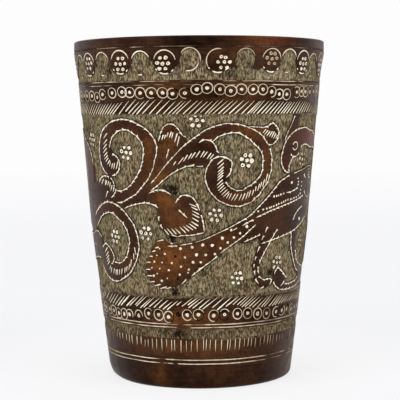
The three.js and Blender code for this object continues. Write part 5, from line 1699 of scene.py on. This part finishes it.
def dull_metal(name, dark, light, metallic, smoothest):
    """Metal tarnished in clouds, with fine turned rings; its roughness starts at the smoothest"""
    look = Look(name)
    cloudy = look.noise(9, detail=5, roughness=0.6)
    streaks = look.noise(0.9, (0.15, 0.15, 1.2), detail=3)
    color = look.over(dark, light, cloudy, 0.35, 0.65)
    color = look.over(color, tuple(0.5 * c for c in dark), streaks, 0.5, 0.75, 0, 0.4)
    roughness = look.span(cloudy, 0.3, 0.7, smoothest, smoothest + 0.2)
    normal = look.bump(streaks, 0.25, 0.05)
    return look.finish(color, roughness, metallic, specular=0.3, normal=normal)


FRIEZE_SHADES = ((0.246, 0.176, 0.093), (0.198, 0.178, 0.098))
STRIP_SHADES = ((0.130, 0.096, 0.045), (0.105, 0.084, 0.040))
INSIDE_SHADES = ((0.11, 0.074, 0.040), (0.22, 0.165, 0.100))
BASE_SHADES = ((0.05, 0.028, 0.018), (0.13, 0.075, 0.04))
SOLDER_SHADES = ((0.16, 0.155, 0.15), (0.30, 0.29, 0.28))

metal = aged_metal("aged brass")
wall_metal = aged_metal("aged brass wall", matted_edges=True)
# the dark grime also paints shade in the grooves and on the figures' steep sides
shade_and_dirt = grime_and_shade()
frieze_mat = matted_ground("matted ground", *FRIEZE_SHADES, darkening=0.0)
strip_mat = matted_ground("matted strip", *STRIP_SHADES, darkening=0.28)
cream = pale_paste()
inside_metal = dull_metal("tarnished inside", *INSIDE_SHADES, metallic=0.6, smoothest=0.45)
base_metal = dull_metal("tarnished base", *BASE_SHADES, metallic=0.6, smoothest=0.4)
solder_metal = dull_metal("old solder", *SOLDER_SHADES, metallic=0.8, smoothest=0.4)

# Pieces made

wall = Piece()
section, section_slots = wall_section()
turned(wall, section, WALL_COLUMNS, section_slots)
wall.make("wall_body", [wall_metal, inside_metal], "wall_metal", ["side_wall"])

for name, (low, high), material, seed in (
    ("frieze_ground", FRIEZE, frieze_mat, 1),
    ("strip_ground", STRIP, strip_mat, 2),
    ("scallop_ground", SCALLOPS, frieze_mat, 3),
):
    sunk = Piece()
    ground(sunk, low - 0.03, high + 0.03, seed)
    sunk.make(name, [material], "wall_metal")

# The plates' steep sides take the dark grime, painted shade beside the figures
relief = Piece()
raised_plate(relief, figures, FIGURE_LEVEL)
relief.make("frieze_relief", [metal, shade_and_dirt], "wall_metal")
lobes = Piece()
raised_plate(lobes, scallop_field, 0.0)
lobes.make("scallop_relief", [metal, shade_and_dirt], "wall_metal")

paste.make("cut_paste", [cream], "line_paste")
# the dark bands round the cuts paint the shade in the chisel grooves
hollows_and_shade.make("cut_hollows_and_shade", [shade_and_dirt], "wall_metal")

# The turned lines: height, wear all round, and spans (start, end, more wear) of u on the front half
LINES = {
    "rim_line_paste": (RIM_LINE, 0.68, [(-27, -10, 0.2), (-10, 12, 0.32), (12, 60, 0.2)]),
    "shoulder_line_paste_upper": (SHOULDER_LINES[1], 0.42, [(-28, -22, 0.3), (-12, 15, 0.45), (37, 60, 0.3)]),
    "shoulder_line_paste_lower": (SHOULDER_LINES[0], 0.2, [(-70, -40, 0.2), (-40, 27, 0.58)]),
    "waist_line_paste_upper": (WAIST_LINES[1], 0.12, [(-14, 2, 0.5)]),
    "waist_line_paste_lower": (WAIST_LINES[0], 0.15, [(-10, -5, 0.7)]),
    "foot_line_paste_upper": (FOOT_LINES[1], 0.02, [(-24, -17, 0.35), (34, 60, 0.2)]),
    "foot_line_paste_lower": (FOOT_LINES[0], 0.04, [(-19, -16, 0.9), (-12.5, -11, 0.9), (34, 60, 0.15)]),
}
FIRST_LINE_SEED = 20
for seed, (name, (z, worn, spans)) in enumerate(LINES.items(), FIRST_LINE_SEED):
    line_ring(z, worn, spans, seed).make(name.replace("_paste", ""), [cream], "line_paste", [name])


def from_axis(radius, z):
    """A section point at a radius from the axis, as (z, w)"""
    return (z, radius - float(wall_radius(z)))


AXIS_RADIUS = 0.02
PLATE_RADIUS = 36.69
PLATE_FLAT = 36.4
PLATE_EASE = 0.2
PLATE_COLUMNS = 192
# The section of the run of solder, as (radius, z)
RUN_PROFILE = [
    (36.72, 3.98), (36.9, 4.3), (37.05, 5.8), (36.75, 5.75),
    (36.15, 4.95), (35.6, 4.5), (35.0, 4.12), (34.9, 3.98),
]
RUN_COLUMNS = 240

plate = Piece()
plate_section = [from_axis(AXIS_RADIUS, LEDGE_TOP)]
for r in np.linspace(2, 35, 18):
    plate_section.append(from_axis(r, LEDGE_TOP + 0.02 * math.sin(r * 2.1)))
plate_section += [from_axis(PLATE_FLAT, LEDGE_TOP), from_axis(PLATE_RADIUS, LEDGE_TOP + PLATE_EASE)]
plate_section += [from_axis(PLATE_RADIUS, PLATE_TOP - PLATE_EASE), from_axis(PLATE_FLAT, PLATE_TOP)]
for r in np.linspace(34, 2, 17):
    plate_section.append(from_axis(r, PLATE_TOP + 0.05 * math.sin(r * 1.7) * (r / 36)))
plate_section += [from_axis(AXIS_RADIUS, PLATE_TOP + 0.05)]
turned(plate, plate_section, PLATE_COLUMNS)
plate.make("base_plate", [base_metal], "base_metal", ["base_disc"])

run = Piece()
turned(run, [from_axis(r, z) for r, z in RUN_PROFILE], RUN_COLUMNS)
run.make("solder_run", [solder_metal], "solder", ["base_solder_ring"])

# Floor, light and camera

FLOOR_WHITE = (0.86, 0.865, 0.875)
FLOOR_GREY = tuple(0.985 * c for c in FLOOR_WHITE)
# Seen floor colours: painted soft shade near the part, painted lighter close round its foot, plain far off
CLOSE_SEEN = (0.975, 0.975, 0.985)
NEAR_SEEN = (0.915, 0.918, 0.94)
FAR_SEEN = (0.985, 0.985, 0.99)
WORLD_LIGHT = 0.62


def seen_directly(tree):
    """1 for what is seen, mirrored or seen through something, 0 for what only lights"""
    rays = tree.nodes.new("ShaderNodeLightPath").outputs
    seen = rays["Is Camera Ray"]
    for name in ("Is Glossy Ray", "Is Transmission Ray"):
        either = tree.nodes.new("ShaderNodeMath")
        either.operation = "MAXIMUM"
        tree.links.new(seen, either.inputs[0])
        tree.links.new(rays[name], either.inputs[1])
        seen = either.outputs[0]
    return seen


def mixed_shaders(tree, share, a, b):
    node = tree.nodes.new("ShaderNodeMixShader")
    for socket, value in zip(node.inputs, (share, a, b)):
        tree.links.new(value, socket)
    return node.outputs[0]


def pale_floor():
    """Near-white floor: plain where it is seen far off, half lit near the part, where the shadow falls"""
    look = Look("pale floor")
    far = look.node("ShaderNodeVectorMath", {"operation": "LENGTH"}, Vector=look.place).outputs["Value"]
    color = look.over(FLOOR_WHITE, FLOOR_GREY, look.noise(300, detail=1), 0.3, 0.7)
    lit = look.node("ShaderNodeBsdfDiffuse", Color=color)
    # painted soft shade near the part, fading to plain far off, and painted lighter close round its foot
    seen_color = look.over(NEAR_SEEN, FAR_SEEN, far, 0.2, 2.0)
    seen_color = look.over(seen_color, CLOSE_SEEN, far, 0.14, 0.06)
    flat = look.node("ShaderNodeEmission", Color=seen_color, Strength=1.0)
    share = look.both(seen_directly(look.tree), look.span(far, 0.3, 1.0, 0.78, 1.0))
    surface = mixed_shaders(look.tree, share, lit.outputs[0], flat.outputs[0])
    look.node("ShaderNodeOutputMaterial", Surface=surface)
    return look.material


FLOOR_RADII = (0.05, 0.12, 0.3, 0.7, 1.4, 2.2)
FLOOR_COLUMNS = 96
SWEEP = 0.8
BACKDROP_HEIGHTS = (1.6, 2.6)


def make_floor():
    """A wide round floor that runs up into a backdrop far behind"""
    edge = FLOOR_RADII[-1]
    section = [(r, 0.0) for r in FLOOR_RADII]
    for turn in np.radians(range(10, 91, 10)):
        section.append((edge + SWEEP * math.sin(turn), SWEEP * (1 - math.cos(turn))))
    section += [(edge + SWEEP, height) for height in BACKDROP_HEIGHTS]
    turns = 2 * math.pi * np.arange(FLOOR_COLUMNS) / FLOOR_COLUMNS
    points = [(r * math.sin(t), -r * math.cos(t), z) for r, z in section for t in turns]
    faces = [face[::-1] for face in grid_faces(len(section), FLOOR_COLUMNS, closed_columns=True)]
    faces.append(tuple(range(FLOOR_COLUMNS)))
    mesh = bpy.data.meshes.new("studio_floor")
    mesh.from_pydata(points, [], faces)
    mesh.materials.append(pale_floor())
    mesh.shade_smooth()
    floor = new_object("studio_floor", mesh)


def background(tree, color, strength):
    node = tree.nodes.new("ShaderNodeBackground")
    node.inputs["Color"].default_value = (*color, 1.0)
    node.inputs["Strength"].default_value = strength
    return node.outputs[0]


def make_world():
    """Even light from all round, seen as a plain near-white"""
    world = bpy.data.worlds.new("studio")
    bpy.context.scene.world = world
    world.use_nodes = True
    tree = world.node_tree
    tree.nodes.clear()
    lit = background(tree, (1.0, 1.0, 1.0), WORLD_LIGHT)
    plain = background(tree, FAR_SEEN, 1.0)
    output = tree.nodes.new("ShaderNodeOutputWorld")
    tree.links.new(mixed_shaders(tree, seen_directly(tree), lit, plain), output.inputs["Surface"])


LAMP_AIM = Vector((0, 0, 0.07))
# Square lamps: name, place, size and power
LAMPS = [
    ("left_lamp", (-0.9, -0.8, 0.9), 0.9, 7),
    ("right_lamp", (1.0, -0.7, 0.8), 0.9, 6),
    ("top_lamp", (0.0, 0.15, 1.5), 1.2, 8),
]


def lamp(name, place, across, power):
    data = bpy.data.lights.new(name, "AREA")
    data.shape = "SQUARE"
    data.size = across
    data.energy = power
    light = new_object(name, data)
    light.location = place
    light.rotation_euler = (LAMP_AIM - Vector(place)).to_track_quat("-Z", "Y").to_euler()


CAMERA_PLACE = (0.0, -0.5378, 0.1105)
CAMERA_PITCH = math.radians(90 - 3.97)
CAMERA_ROLL = math.radians(-0.31)
CAMERA_LENS = 113.97
CAMERA_SENSOR = 36.0
CAMERA_SHIFT = 0.00075


def make_camera():
    data = bpy.data.cameras.new("camera")
    data.sensor_width = CAMERA_SENSOR
    data.lens = CAMERA_LENS
    data.shift_x = CAMERA_SHIFT
    data.clip_start = 0.05
    camera = new_object("camera", data)
    pitched = Matrix.Translation(CAMERA_PLACE) @ Matrix.Rotation(CAMERA_PITCH, 4, "X")
    camera.matrix_world = pitched @ Matrix.Rotation(CAMERA_ROLL, 4, "Z")
    bpy.context.scene.camera = camera


make_floor()
make_world()
for settings in LAMPS:
    lamp(*settings)
make_camera()
bpy.context.scene.view_settings.view_transform = "Standard"
